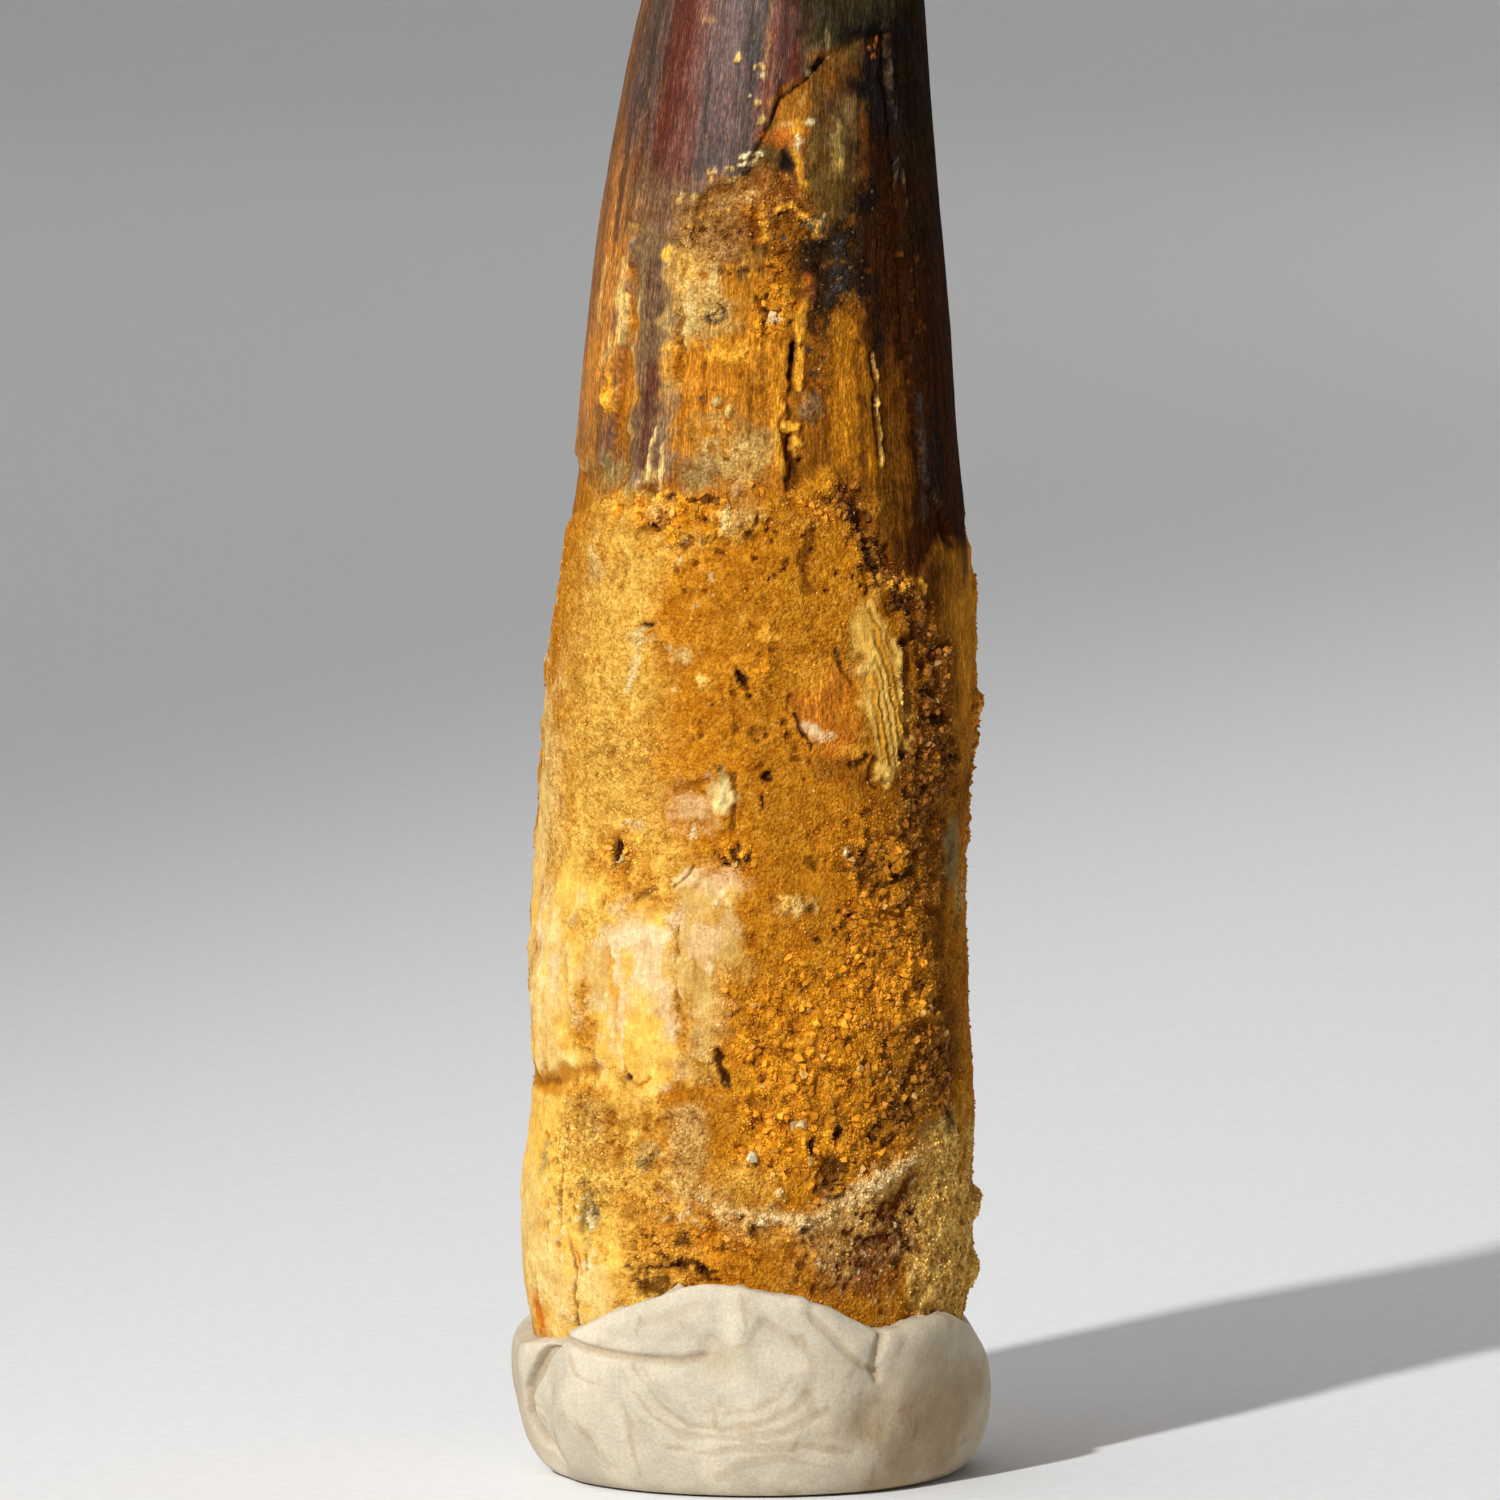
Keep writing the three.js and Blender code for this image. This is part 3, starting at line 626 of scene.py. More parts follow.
LOWER_CROWN: tuple[Mark, ...] = (
    # The left edge, the enamel's broken foot and the strip of enamel below it.
    Seam(((-70, 55.5), (-71, 53.5), (-70, 52.6)), 0.18, CREAM, 0, 0.55, 0.7),
    Seam(((-58, 55.6), (-57, 53.6), (-55.5, 52)), 0.3, CREAM, 0, 0.8, 0.6),
    Patch((-60.4, 49.7), (0.42, 0.95), AMBER, 0.1, finish=CRUMBLED),
    Patch((-62, 51.3), (0.4, 0.7), CREAM, 0, 0.6, 0.6, 0.6),
    Patch((-73, 50.6), (0.9, 1.5), ORANGE_DENTINE, 0, 0.8, 0.6),
    Patch((-60, 47.4), (2.1, 1.2), BROWN_ENAMEL, 0, 0.5, 0.6, 0.6),
    Patch((-54, 45.9), (2.4, 0.8), GREEN_GREY, 0, 0.55, 0.7, 0.6),
    Seam(((-56, 57), (-48, 56.8), (-40, 56.55), (-29, 56.4)), 0.2, CREAM, -0.05, 0.75, 0.5, 0.5,
         CRUMBLED),
    Seam(((-46, 56), (-42.6, 54), (-41, 52), (-41, 50), (-40.4, 48.2), (-40.4, 46.4)), 1.15, STRIP_BROWN,
         0.22, 1, 0.3, 0.3, ENAMEL, wander=0.05),
    Seam(((-44, 55.4), (-42, 52), (-42, 49)), 0.4, BROWN_ENAMEL, 0, 0.7, 0.8),
    Seam(((-42, 50.6), (-41.5, 48), (-41, 46.6)), 0.5, RED_ENAMEL, 0, 0.75, 0.8),
    Seam(((-50, 54), (-49.5, 50), (-48.4, 47)), 0.1, CREAM, 0, 0.6, 0.6),
    Seam(((-31.8, 55.4), (-31.6, 53), (-31.4, 50.4)), 0.2, BROWN_DENTINE, -0.18, 1, 0.5, 0.5, CRUMBLED),
    Patch((-39, 55.9), (0.3, 0.3), AMBER, 0, 0.9),
    Patch((-33.5, 50.8), (0.55, 1.1), AMBER, 0, 0.6, 0.6, 0.5, CRUMBLED),
    # The cream blotch with its grey pit.
    Patch((-24.4, 54.2), (1.3, 2.1), CREAM, 0.1, 0.9, 0.6, 0.7, CRUMBLED),
    Patch((-31, 55.2), (0.6, 0.8), STRAW, 0, 0.8, 0.6, 0.7),
    Patch((-29, 53.2), (0.4, 0.9), PALE_RIM, 0.06, ragged=0.6),
    Patch((-24.5, 54.9), (0.22, 0.2), BROWN_SAND, -0.1, 0.8),
    Patch((-19.6, 54.9), (0.3, 0.8), PALE_RIM, 0.08, 0.8, 0.7, 0.6),
    Patch((-22.5, 52.6), (0.8, 0.5), GREY_CRUMB, 0, 0.7, 0.6),
    Patch((-17.6, 53.3), (0.9, 0.7), GREY_CRUMB, 0, 0.8, 0.6, 0.5, SCABBY),
    Flecks((-18.6, 53.2), (0.42, 0.36), 7, 0.11, 13, BLUE_BLACK, -0.09, 0.75),
    Flecks((-17.2, 53.6), (0.6, 0.42), 12, 0.08, 14, CHALK, 0.06, 0.85),
    Patch((-8.5, 54.6), (0.9, 1.8), BROWN_SAND, 0, 0.7, 0.6, 0.5, DENTINE),
    Patch((-11.8, 55.9), (0.4, 0.4), BROWN_ENAMEL, 0, 0.7, 0.45, 0.7),
    Patch((-9.4, 55.3), (0.36, 0.4), BLUE_BLACK, 0, 0.6, 0.45, 0.7),
    Seam(((-3.6, 53.9), (-1.4, 53.1), (-0.3, 52.4)), 0.14, SHADOW, -0.17, wander=0.05),
    # The crumbled middle, from the enamel's edge down to the groove.
    Patch((-16, 57.5), (1.9, 1.5), TAN, 0.12, 1, 0.45, 0.6, SCABBY),
    Patch((-1, 58.4), (2.2, 1.5), TAWNY, 0.05, 1, 0.45, 0.6, SCABBY),
    Flecks((-8, 56.2), (2.6, 1.6), 24, 0.13, 57, SHADOW, -0.12, 0.6),
    Flecks((-6, 56.6), (3, 1.7), 22, 0.12, 58, AMBER, 0.08, 0.55),
    Patch((-2.5, 56.9), (0.34, 0.45), AMBER, 0.1),
    Patch((-4.6, 57.8), (0.25, 0.2), AMBER, 0.06, 0.8),
    Patch((-8, 58.6), (0.3, 0.25), CREAM, 0.06, 0.6, 0.45, 0.8),
    Patch((11, 56.4), (1.25, 1.5), BROWN_DENTINE, 0.15, 1, 0.45, 0.4, SCABBY),
    # A low ridge along the crust plate's upper edge, its bright tint a painted highlight.
    Seam(((4, 57.9), (8, 58), (12, 57.7), (16.5, 57.2), (20, 56.8)), 0.2, AMBER, 0.18, 0.85),
    Flecks((12.5, 56.6), (0.9, 0.8), 9, 0.19, 15, BLUE_BLACK, -0.06, 0.85),
    Flecks((18, 57.4), (0.5, 0.3), 4, 0.14, 16, CHALK, 0.06, 0.7),
    Patch((3.5, 55.2), (0.5, 0.7), BROWN_SAND, -0.15, 1, 0.45, 0.6, LOOSE),
    Patch((4.5, 53.5), (1.1, 1.1), RED_SAND, 0.1, 1, 0.45, 0.6, LOOSE),
    Flecks((4.6, 53.3), (0.8, 0.7), 8, 0.14, 17, SHADOW, -0.14),
    Patch((2.4, 53.1), (0.24, 0.2), CHALK, 0.14),
    Patch((15, 54.4), (0.42, 0.65), RUST, 0.16, 1, 0.45, 0.25, DENTINE),
    Seam(((13, 53.9), (11.6, 53), (10.4, 52.2)), 0.24, AMBER, 0.14, 0.8),
    # Black stains on the right of the lower crown.
    Patch((38, 54.6), (2.1, 2.9), BURNT, 0, 0.65, 0.8, 0.5, DENTINE),
    Patch((29.6, 55.2), (1.7, 2.9), BLACK, 0, 0.85, 0.4, 0.75, CRUMBLED),
    Patch((27, 54.6), (0.45, 1.9), BLUE_BLACK, 0, 0.6, 0.4, 0.9, CRUMBLED),
    Flecks((29, 55.4), (1.4, 2.2), 22, 0.15, 59, BROWN_DENTINE, -0.08, 0.55),
    Seam(((40.5, 54.6), (42, 53), (42.8, 51.6)), 0.24, BLACK, 0, 0.8, 0.45, 0.8),
    Seam(((22.5, 53.6), (23, 52.5)), 0.22, BLACK, 0, 0.8, 0.45, 0.7),
    Patch((35, 52.3), (0.3, 0.4), SHADOW, 0, 0.7, 0.45, 0.6),
    Patch((31, 53.2), (0.8, 0.7), BROWN_DENTINE, 0, 0.8, 0.45, 0.6),
    # The plates and streaks each side of the groove.
    Patch((-13, 50.8), (2.3, 1.3), ORANGE_DENTINE, 0.1, 1, 0.25, 0.5, DENTINE),
    Flecks((-16, 51.7), (3.4, 0.5), 22, 0.14, 62, AMBER, 0.06, 0.7),
    Flecks((-14, 50), (3.6, 1.6), 16, 0.12, 63, BROWN_DENTINE, -0.06, 0.6),
    Seam(((-21.6, 51), (-22, 49.8), (-21.4, 48.8)), 0.09, BROWN_DENTINE, -0.05, 0.7),
    Seam(((-6, 50.8), (-5.6, 49.2), (-6, 47.8)), 0.1, BROWN_DENTINE, -0.05, 0.7),
    Seam(((-1.4, 51.4), (-1, 49), (-1.6, 47)), 0.12, CHESTNUT, -0.04, 0.5, 0.7),
    Patch((-12.5, 51.5), (0.75, 0.3), AMBER, 0.1, 1, 0.45, 0.6, CRUMBLED),
    Patch((-20.5, 51.7), (0.16, 0.16), GREEN_GREY, 0, 0.8),
    Patch((3, 49.6), (0.55, 2.4), GOLD_DENTINE, 0, 0.8, 0.5, 0.5, DENTINE),
    Patch((-17.5, 47.3), (1.95, 1.7), GREY_CRUMB, 0.06, 0.85, 0.6, 0.8, CRUMBLED, square=True),
    Patch((-24, 46.2), (1.3, 0.7), MAUVE_ENAMEL, 0, 0.4, 0.7),
    Patch((-6.5, 46.4), (0.95, 1.0), CREAM, 0, 0.85, 0.5, 0.5, CRUMBLED),
    Flecks((-22, 47.8), (1.5, 0.9), 16, 0.2, 18, OCHRE, 0, 0.6),
    Flecks((-16, 47), (1.6, 1.2), 10, 0.12, 19, BROWN_DENTINE, -0.08, 0.7),
    Patch((-17, 49.35), (0.24, 0.22), GREY_CRUMB, 0.3, ragged=0.4),
    Patch((-13, 48.9), (0.16, 0.24), CREAM, 0.25, ragged=0.4),
    Patch((-23, 49.5), (0.14, 0.14), BLUE_BLACK, 0, 0.7),
    Seam(((-38, 48.2), (-38.6, 47.4), (-39.6, 46.6), (-40, 45.8)), 0.1, PALE_RIM, 0.06, wander=0.04),
    Patch((-39, 45.9), (0.4, 0.3), CREAM, 0, 0.8, 0.7),
    Seam(((-34.2, 48.3), (-34.5, 46.9), (-35, 45.3)), 0.07, PALE_RIM, 0.04, 0.8, wander=0.06),
    Seam(((-9.4, 46), (-10, 45.4)), 0.16, CHALK, 0.06, 0.7),
    Patch((17.5, 50.8), (0.65, 1.2), BROWN_DENTINE, 0.06, 1, 0.45, 0.6, CRUMBLED),
    Flecks((17.5, 50.6), (0.5, 1.1), 7, 0.17, 20, BLUE_BLACK, -0.06, 0.85),
    Patch((15, 49), (0.5, 0.7), STRIP_BROWN, 0.16, 0.7, finish=CRUMBLED),
    Patch((29, 49.6), (0.8, 3.2), GOLD_DENTINE, 0, 1, 0.5, 0.5, DENTINE),
    Seam(((33, 52), (34, 49), (34, 46.6)), 0.2, DARK_DENTINE, 0, 0.6, 0.8),
    Seam(((37, 50.6), (37.5, 48), (37, 46)), 0.22, GOLD_DENTINE, 0, 0.6, 0.8),
    Seam(((8.7, 52), (8.7, 50.6)), 0.12, BLACK, -0.4, wander=0.03),
    Seam(((8.2, 50.6), (7, 49.6), (6.2, 48.4), (7, 47.4)), 0.14, SHADOW, -0.2),
    Seam(((7, 47.4), (8.8, 46.6), (8, 45.6)), 0.3, SHADOW, -0.35),
    Seam(((10.4, 52.4), (10.6, 51), (10.4, 50)), 0.18, AMBER, 0.12, 0.75),
    Flecks((9.3, 48), (0.22, 0.8), 6, 0.15, 21, AMBER, 0.2, 0.8),
    Seam(((4.4, 50), (4.2, 48), (4.6, 46.4)), 0.2, AMBER, 0.08, 0.6, 0.6),
    Seam(((39.6, 51.4), (40.3, 50.6), (41.4, 49.8), (40.6, 49), (40.8, 48), (41.4, 47), (41, 46.4)), 0.07,
         STRAW, 0.1, 0.8, 0.45, 0.9, wander=0.05),
    Seam(((38.4, 51.4), (39.1, 50.6), (40, 49.8), (39.2, 49), (39.4, 48), (40, 47)), 0.1, SHADOW,
         -0.12, wander=0.05),
    Seam(((57, 49.5), (57.6, 48), (58, 44)), 0.14, SLATE_ENAMEL, 0, 0.6, 0.7),
    Patch((64, 46.4), (0.5, 2.2), BLACK, 0, 0.8, 0.7),
    Patch((47, 47), (0.8, 3.4), BROWN_DENTINE, 0, 0.6, 0.7),
    Flecks((55, 53), (1.6, 3.5), 16, 0.11, 22, BROWN_DENTINE, 0, 0.4),
)

UPPER_ROOT: tuple[Mark, ...] = (
    # The rough upper edge of the crust.
    Patch((-28, 44.4), (3.4, 0.85), RED_SAND, 0.14, 1, 0.45, 0.6, LOOSE),
    Patch((12, 44.4), (3.2, 1.3), BROWN_SAND, 0.06, 0.7, 0.45, 0.6, LOOSE),
    Seam(((-41, 45.3), (-36, 45.2)), 0.2, DEEP_SAND, -0.14),
    Patch((-35.6, 43.8), (0.36, 0.14), SHADOW, -0.28),
    Patch((-30, 45.05), (0.3, 0.16), SHADOW, -0.22),
    Patch((-20, 45), (0.7, 0.14), DEEP_SAND, -0.17, ragged=0.6),
    Patch((-28.6, 43.3), (0.3, 0.4), RED_SAND, 0.3, ragged=0.3),
    Patch((-35, 44.5), (0.62, 0.42), CREAM, 0, 0.7, 0.8),
    Patch((-8.5, 44.3), (0.85, 0.62), CREAM, 0.06, 0.75, 0.8),
    Seam(((-12.2, 44.7), (-12.4, 43.9)), 0.13, PALE_RIM, 0.12, wander=0.03),
    Seam(((-3.4, 44.8), (-3, 44), (-4.4, 43.6)), 0.16, SHADOW, -0.17),
    Flecks((14, 42.6), (3.2, 1.8), 22, 0.13, 24, DEEP_SAND, -0.16, 0.8),
    Flecks((-14, 42.4), (2.4, 1.4), 12, 0.15, 25, DEEP_SAND, -0.16, 0.7),
    Seam(((14, 43.6), (12, 42.4), (13, 41)), 0.2, DEEP_SAND, -0.11, 0.7, 0.45, 0.6),
    # The furrow of coarse bright grains.
    Seam(((27.5, 45), (31, 44), (35, 42.4), (39, 41.2), (46, 40.6), (53, 39.6), (56, 38)), 0.85,
         BROWN_DENTINE, -0.12, 1, 0.6, 0.5, LOOSE),
    Seam(((29, 44.4), (33, 43), (36, 41.6)), 0.22, SHADOW, -0.15),
    Patch((45, 40.3), (0.7, 0.3), SHADOW, -0.12, ragged=0.8),
    Patch((52, 38.6), (0.8, 0.6), DEEP_SAND, -0.1, 1, 0.45, 0.8, LOOSE),
    Flecks((45, 41), (1.5, 0.5), 22, 0.12, 26, AMBER, 0.12, 0.8),
    # Pale scraps and stains on the left.
    Patch((-72, 41), (2.2, 6.5), BROWN_SAND, 0, 0.4, 0.7),
    Patch((-81, 31), (1.9, 5.2), CREAM_BONE, 0, 0.7, 0.8),
    Patch((-60.4, 42), (0.32, 0.9), PALE_RIM, 0, 0.85, 0.7, 0.8, tilt=-8),
    Patch((-57, 41.6), (0.5, 0.5), PALE_RIM, 0, 0.6, 0.45, 0.8),
    Flecks((-38, 38), (5, 6), 46, 0.24, 64, AMBER, 0, 0.45, 0.8),
    Flecks((-36, 37), (5.5, 6), 40, 0.15, 65, BROWN_SAND, -0.05, 0.5, 0.7),
    Flecks((-40, 39), (4.5, 4.5), 16, 0.13, 66, CHALK, 0, 0.5),
    Patch((-35.6, 39.35), (0.32, 0.13), SHADOW, -0.22),
    Patch((-38, 38.8), (0.42, 0.34), CHALK, 0, 0.75, 0.7, 0.8),
    Seam(((-37.4, 38), (-38.6, 37.2), (-39.4, 36.6)), 0.2, CHALK, 0, 0.6, 0.7, 0.8),
    Patch((-23.5, 38), (0.56, 0.26), PALE_RIM, 0, 0.8, 0.7, 0.8),
    Patch((-28, 38.3), (0.16, 0.16), CHALK, 0, 0.8),
    Patch((-17.6, 36.9), (0.3, 0.24), STRAW, 0.16, 0.8, tilt=-30),
    Patch((-16.5, 35.6), (0.9, 0.5), OCHRE, 0, 0.7, 0.8),
    Patch((-47, 33.6), (2.2, 0.8), YELLOW_SAND, 0, 0.6, 0.45, 0.6, LOOSE),
    # The pit and the lumps beside it.
    Patch((-5.3, 36.95), (0.2, 0.6), SHADOW, -0.5, tilt=28),
    Patch((0, 37.6), (0.5, 0.6), RED_SAND, 0.18, finish=LOOSE),
    Patch((1.2, 39), (0.42, 0.34), AMBER, 0.08, 0.7, 0.45, 0.6),
    Patch((2.6, 38.4), (0.18, 0.14), DEEP_SAND, -0.17),
    Patch((3, 32.7), (0.2, 0.24), SHADOW, -0.33),
    Patch((1.2, 31.4), (0.12, 0.26), SHADOW, -0.22),
    Flecks((3, 33.6), (2.2, 1.2), 12, 0.15, 27, DEEP_SAND, -0.11, 0.7),
    Flecks((-2, 35.4), (2.4, 1.0), 10, 0.14, 28, DEEP_SAND, -0.16, 0.6),
    # The smooth orange plate, the white corner and the split bone.
    Patch((19, 38), (1.7, 1.5), GOLD_DENTINE, 0, 0.8, finish=CRUMBLED),
    Patch((18.4, 35.9), (1.35, 1.5), ORANGE_DENTINE, -0.06, finish=DENTINE),
    Patch((19, 35.2), (1.2, 1.3), RUST, 0, 0.45, 0.9, 0.7),
    Patch((14, 37), (0.7, 0.8), AMBER, 0, 0.7, 0.6, 0.5, CRUMBLED),
    Patch((22.4, 33.9), (0.9, 0.6), RUST, 0, 0.8, 0.8),
    Patch((28, 33.7), (0.8, 0.35), AMBER, 0, 0.7, 0.7),
    Patch((20.5, 33), (1.1, 0.5), DEEP_SAND, 0, 0.6, 0.6),
    Patch((14.8, 34.7), (0.48, 0.24), PINK_BONE, 0.05, 1, 0.7, 0.7, BONE, tilt=-28),
    Patch((17, 34.4), (0.4, 0.24), PINK_BONE, 0, 0.7, 0.8, 0.7, tilt=-28),
    Patch((21.4, 34.4), (0.16, 0.14), CHALK, 0, 0.8),
    Seam(((10, 35.5), (11.6, 34.8), (14, 34.1), (15.2, 33.9)), 0.085, SHADOW, -0.16, wander=0.03),
    Seam(((22.6, 38.2), (24, 37.6), (26.6, 36.6)), 0.12, DEEP_SAND, -0.12),
    Patch((30.6, 37.4), (0.36, 0.2), CREAM, 0.14, tilt=35),
    Patch((29.4, 38.9), (0.5, 0.9), BROWN_DENTINE, 0, 0.7, 0.45, 0.6, CRUMBLED),
    Seam(((45.4, 38.6), (45.6, 36), (44, 33.6)), 0.26, SHADOW, -0.11, 0.7, 0.6),
    Patch((38, 36.2), (1.0, 4.0), YELLOW_BONE, 0.05, 0.8, 0.4, 0.5, BONE, tilt=17),
    Fibres((38, 36.2), (0.95, 3.8), STRAW, 0, 0.4, finish=BONE, tilt=20, spacing=0.24, depth=0.07,
           fibre_shading=0.5),
    *(Seam(path, width, tint, finish=BONE, rise=0.07, soft=0.6, ragged=0.1, wander=0.02)
      for width, tint, path in (
        (0.15, YELLOW_BONE, ((33.2, 40.4), (35.2, 39.6), (38, 38.4), (41.2, 37), (43.4, 35.8))),
        (0.13, AMBER, ((33.4, 39.5), (36, 38.5), (38.8, 37.2), (41.6, 35.8), (42.8, 34.4))),
        (0.13, YELLOW_BONE, ((33.6, 38.5), (36.2, 37.3), (38.6, 36), (40.6, 34.6), (41.6, 33))),
        (0.12, STRAW, ((33.8, 37.4), (36, 36.2), (38.2, 34.9), (39.8, 33.4), (40.2, 32.4))),
        (0.13, AMBER, ((33, 37), (34.4, 35.8), (36.2, 34.6), (37.6, 33.3))),
        (0.11, STRAW, ((33, 35.8), (34.4, 34.6), (35.6, 33.4))),
        (0.16, STRAW, ((41, 38.6), (43, 37.4), (44.4, 35.8), (43.6, 34.2))),
    )),
    # Painted shade in the furrows between the strands, and painted shadow along the split bone's right
    # border.
    *(Seam(path, width, DEEP_SAND, rise=-0.06, soft=0.8, ragged=0.1, wander=0.02, strength=0.6)
      for width, path in (
        (0.05, ((33.4, 40), (36.4, 38.8), (39, 37.7), (41.8, 36.4), (42.8, 35.4))),
        (0.06, ((33.6, 39), (36, 37.9), (38.8, 36.6), (41, 35.2), (42, 34))),
        (0.06, ((34, 37.9), (36.2, 36.7), (38.4, 35.4), (40.2, 34), (40.8, 33))),
        (0.07, ((33.4, 37.3), (35, 36.1), (37, 34.9), (38.6, 33.4))),
        (0.07, ((33, 36.4), (34.4, 35.2), (36, 34))),
        (0.12, ((45.4, 37.6), (45.6, 36), (44.6, 34.4), (43, 33))),
    )),
    Patch((36.4, 32.8), (0.44, 0.42), STRAW, 0.24, 1, 0.6, 0.5, BONE),
    Patch((38.4, 32.3), (0.24, 0.34), STRAW, 0.1),
    Seam(((34.4, 33.3), (33.3, 32.9), (33.5, 32.2), (35, 31.9)), 0.11, DEEP_SAND, -0.14, wander=0.03),
    Seam(((27, 33), (29.4, 33.2), (31.4, 33.5)), 0.14, DEEP_SAND, -0.17, wander=0.05),
    # Coarse sand in the shade of the right side.
    Patch((56, 34.4), (1.9, 4.4), BROWN_DENTINE, finish=LOOSE),
    Patch((55, 36.2), (0.45, 0.34), SHADOW, -0.25),
    Patch((60, 35), (0.35, 0.5), SHADOW, -0.22),
    Patch((58, 33), (0.3, 0.5), RED_SAND, 0.15, 0.6, 0.45, 0.6),
    Flecks((56, 31.6), (2.0, 2.0), 18, 0.18, 29, SHADOW, -0.14, 0.8),
    # The pale patch and its fibrous end.
    Patch((-18, 31.3), (1.0, 0.85), PINK_BONE, 0.06, 0.6, 0.7, 0.9, BONE),
    Fibres((-9.8, 31.6), (0.62, 1.0), PALE_RIM, 0.06, finish=BONE, tilt=-25, spacing=0.22, depth=0.1,
           fibre_shading=0.5),
    Seam(((-10.8, 33), (-9.6, 32.2), (-10.4, 31.4)), 0.16, GREEN_GREY, 0, 0.5),
    Seam(((-6.8, 32.6), (-6.6, 31.6), (-7, 30.2)), 0.11, DEEP_SAND, -0.12, 0.8),
    Seam(((-24, 31.9), (-20, 32.3), (-15, 32.5)), 0.12, BROWN_SAND, -0.15, 0.8),
    Patch((-18, 30.1), (0.24, 0.34), CHALK, 0, 0.8, 0.45, 0.6),
    Patch((-36, 30.3), (0.6, 0.2), CHALK, 0, 0.75, 0.45, 0.7),
)

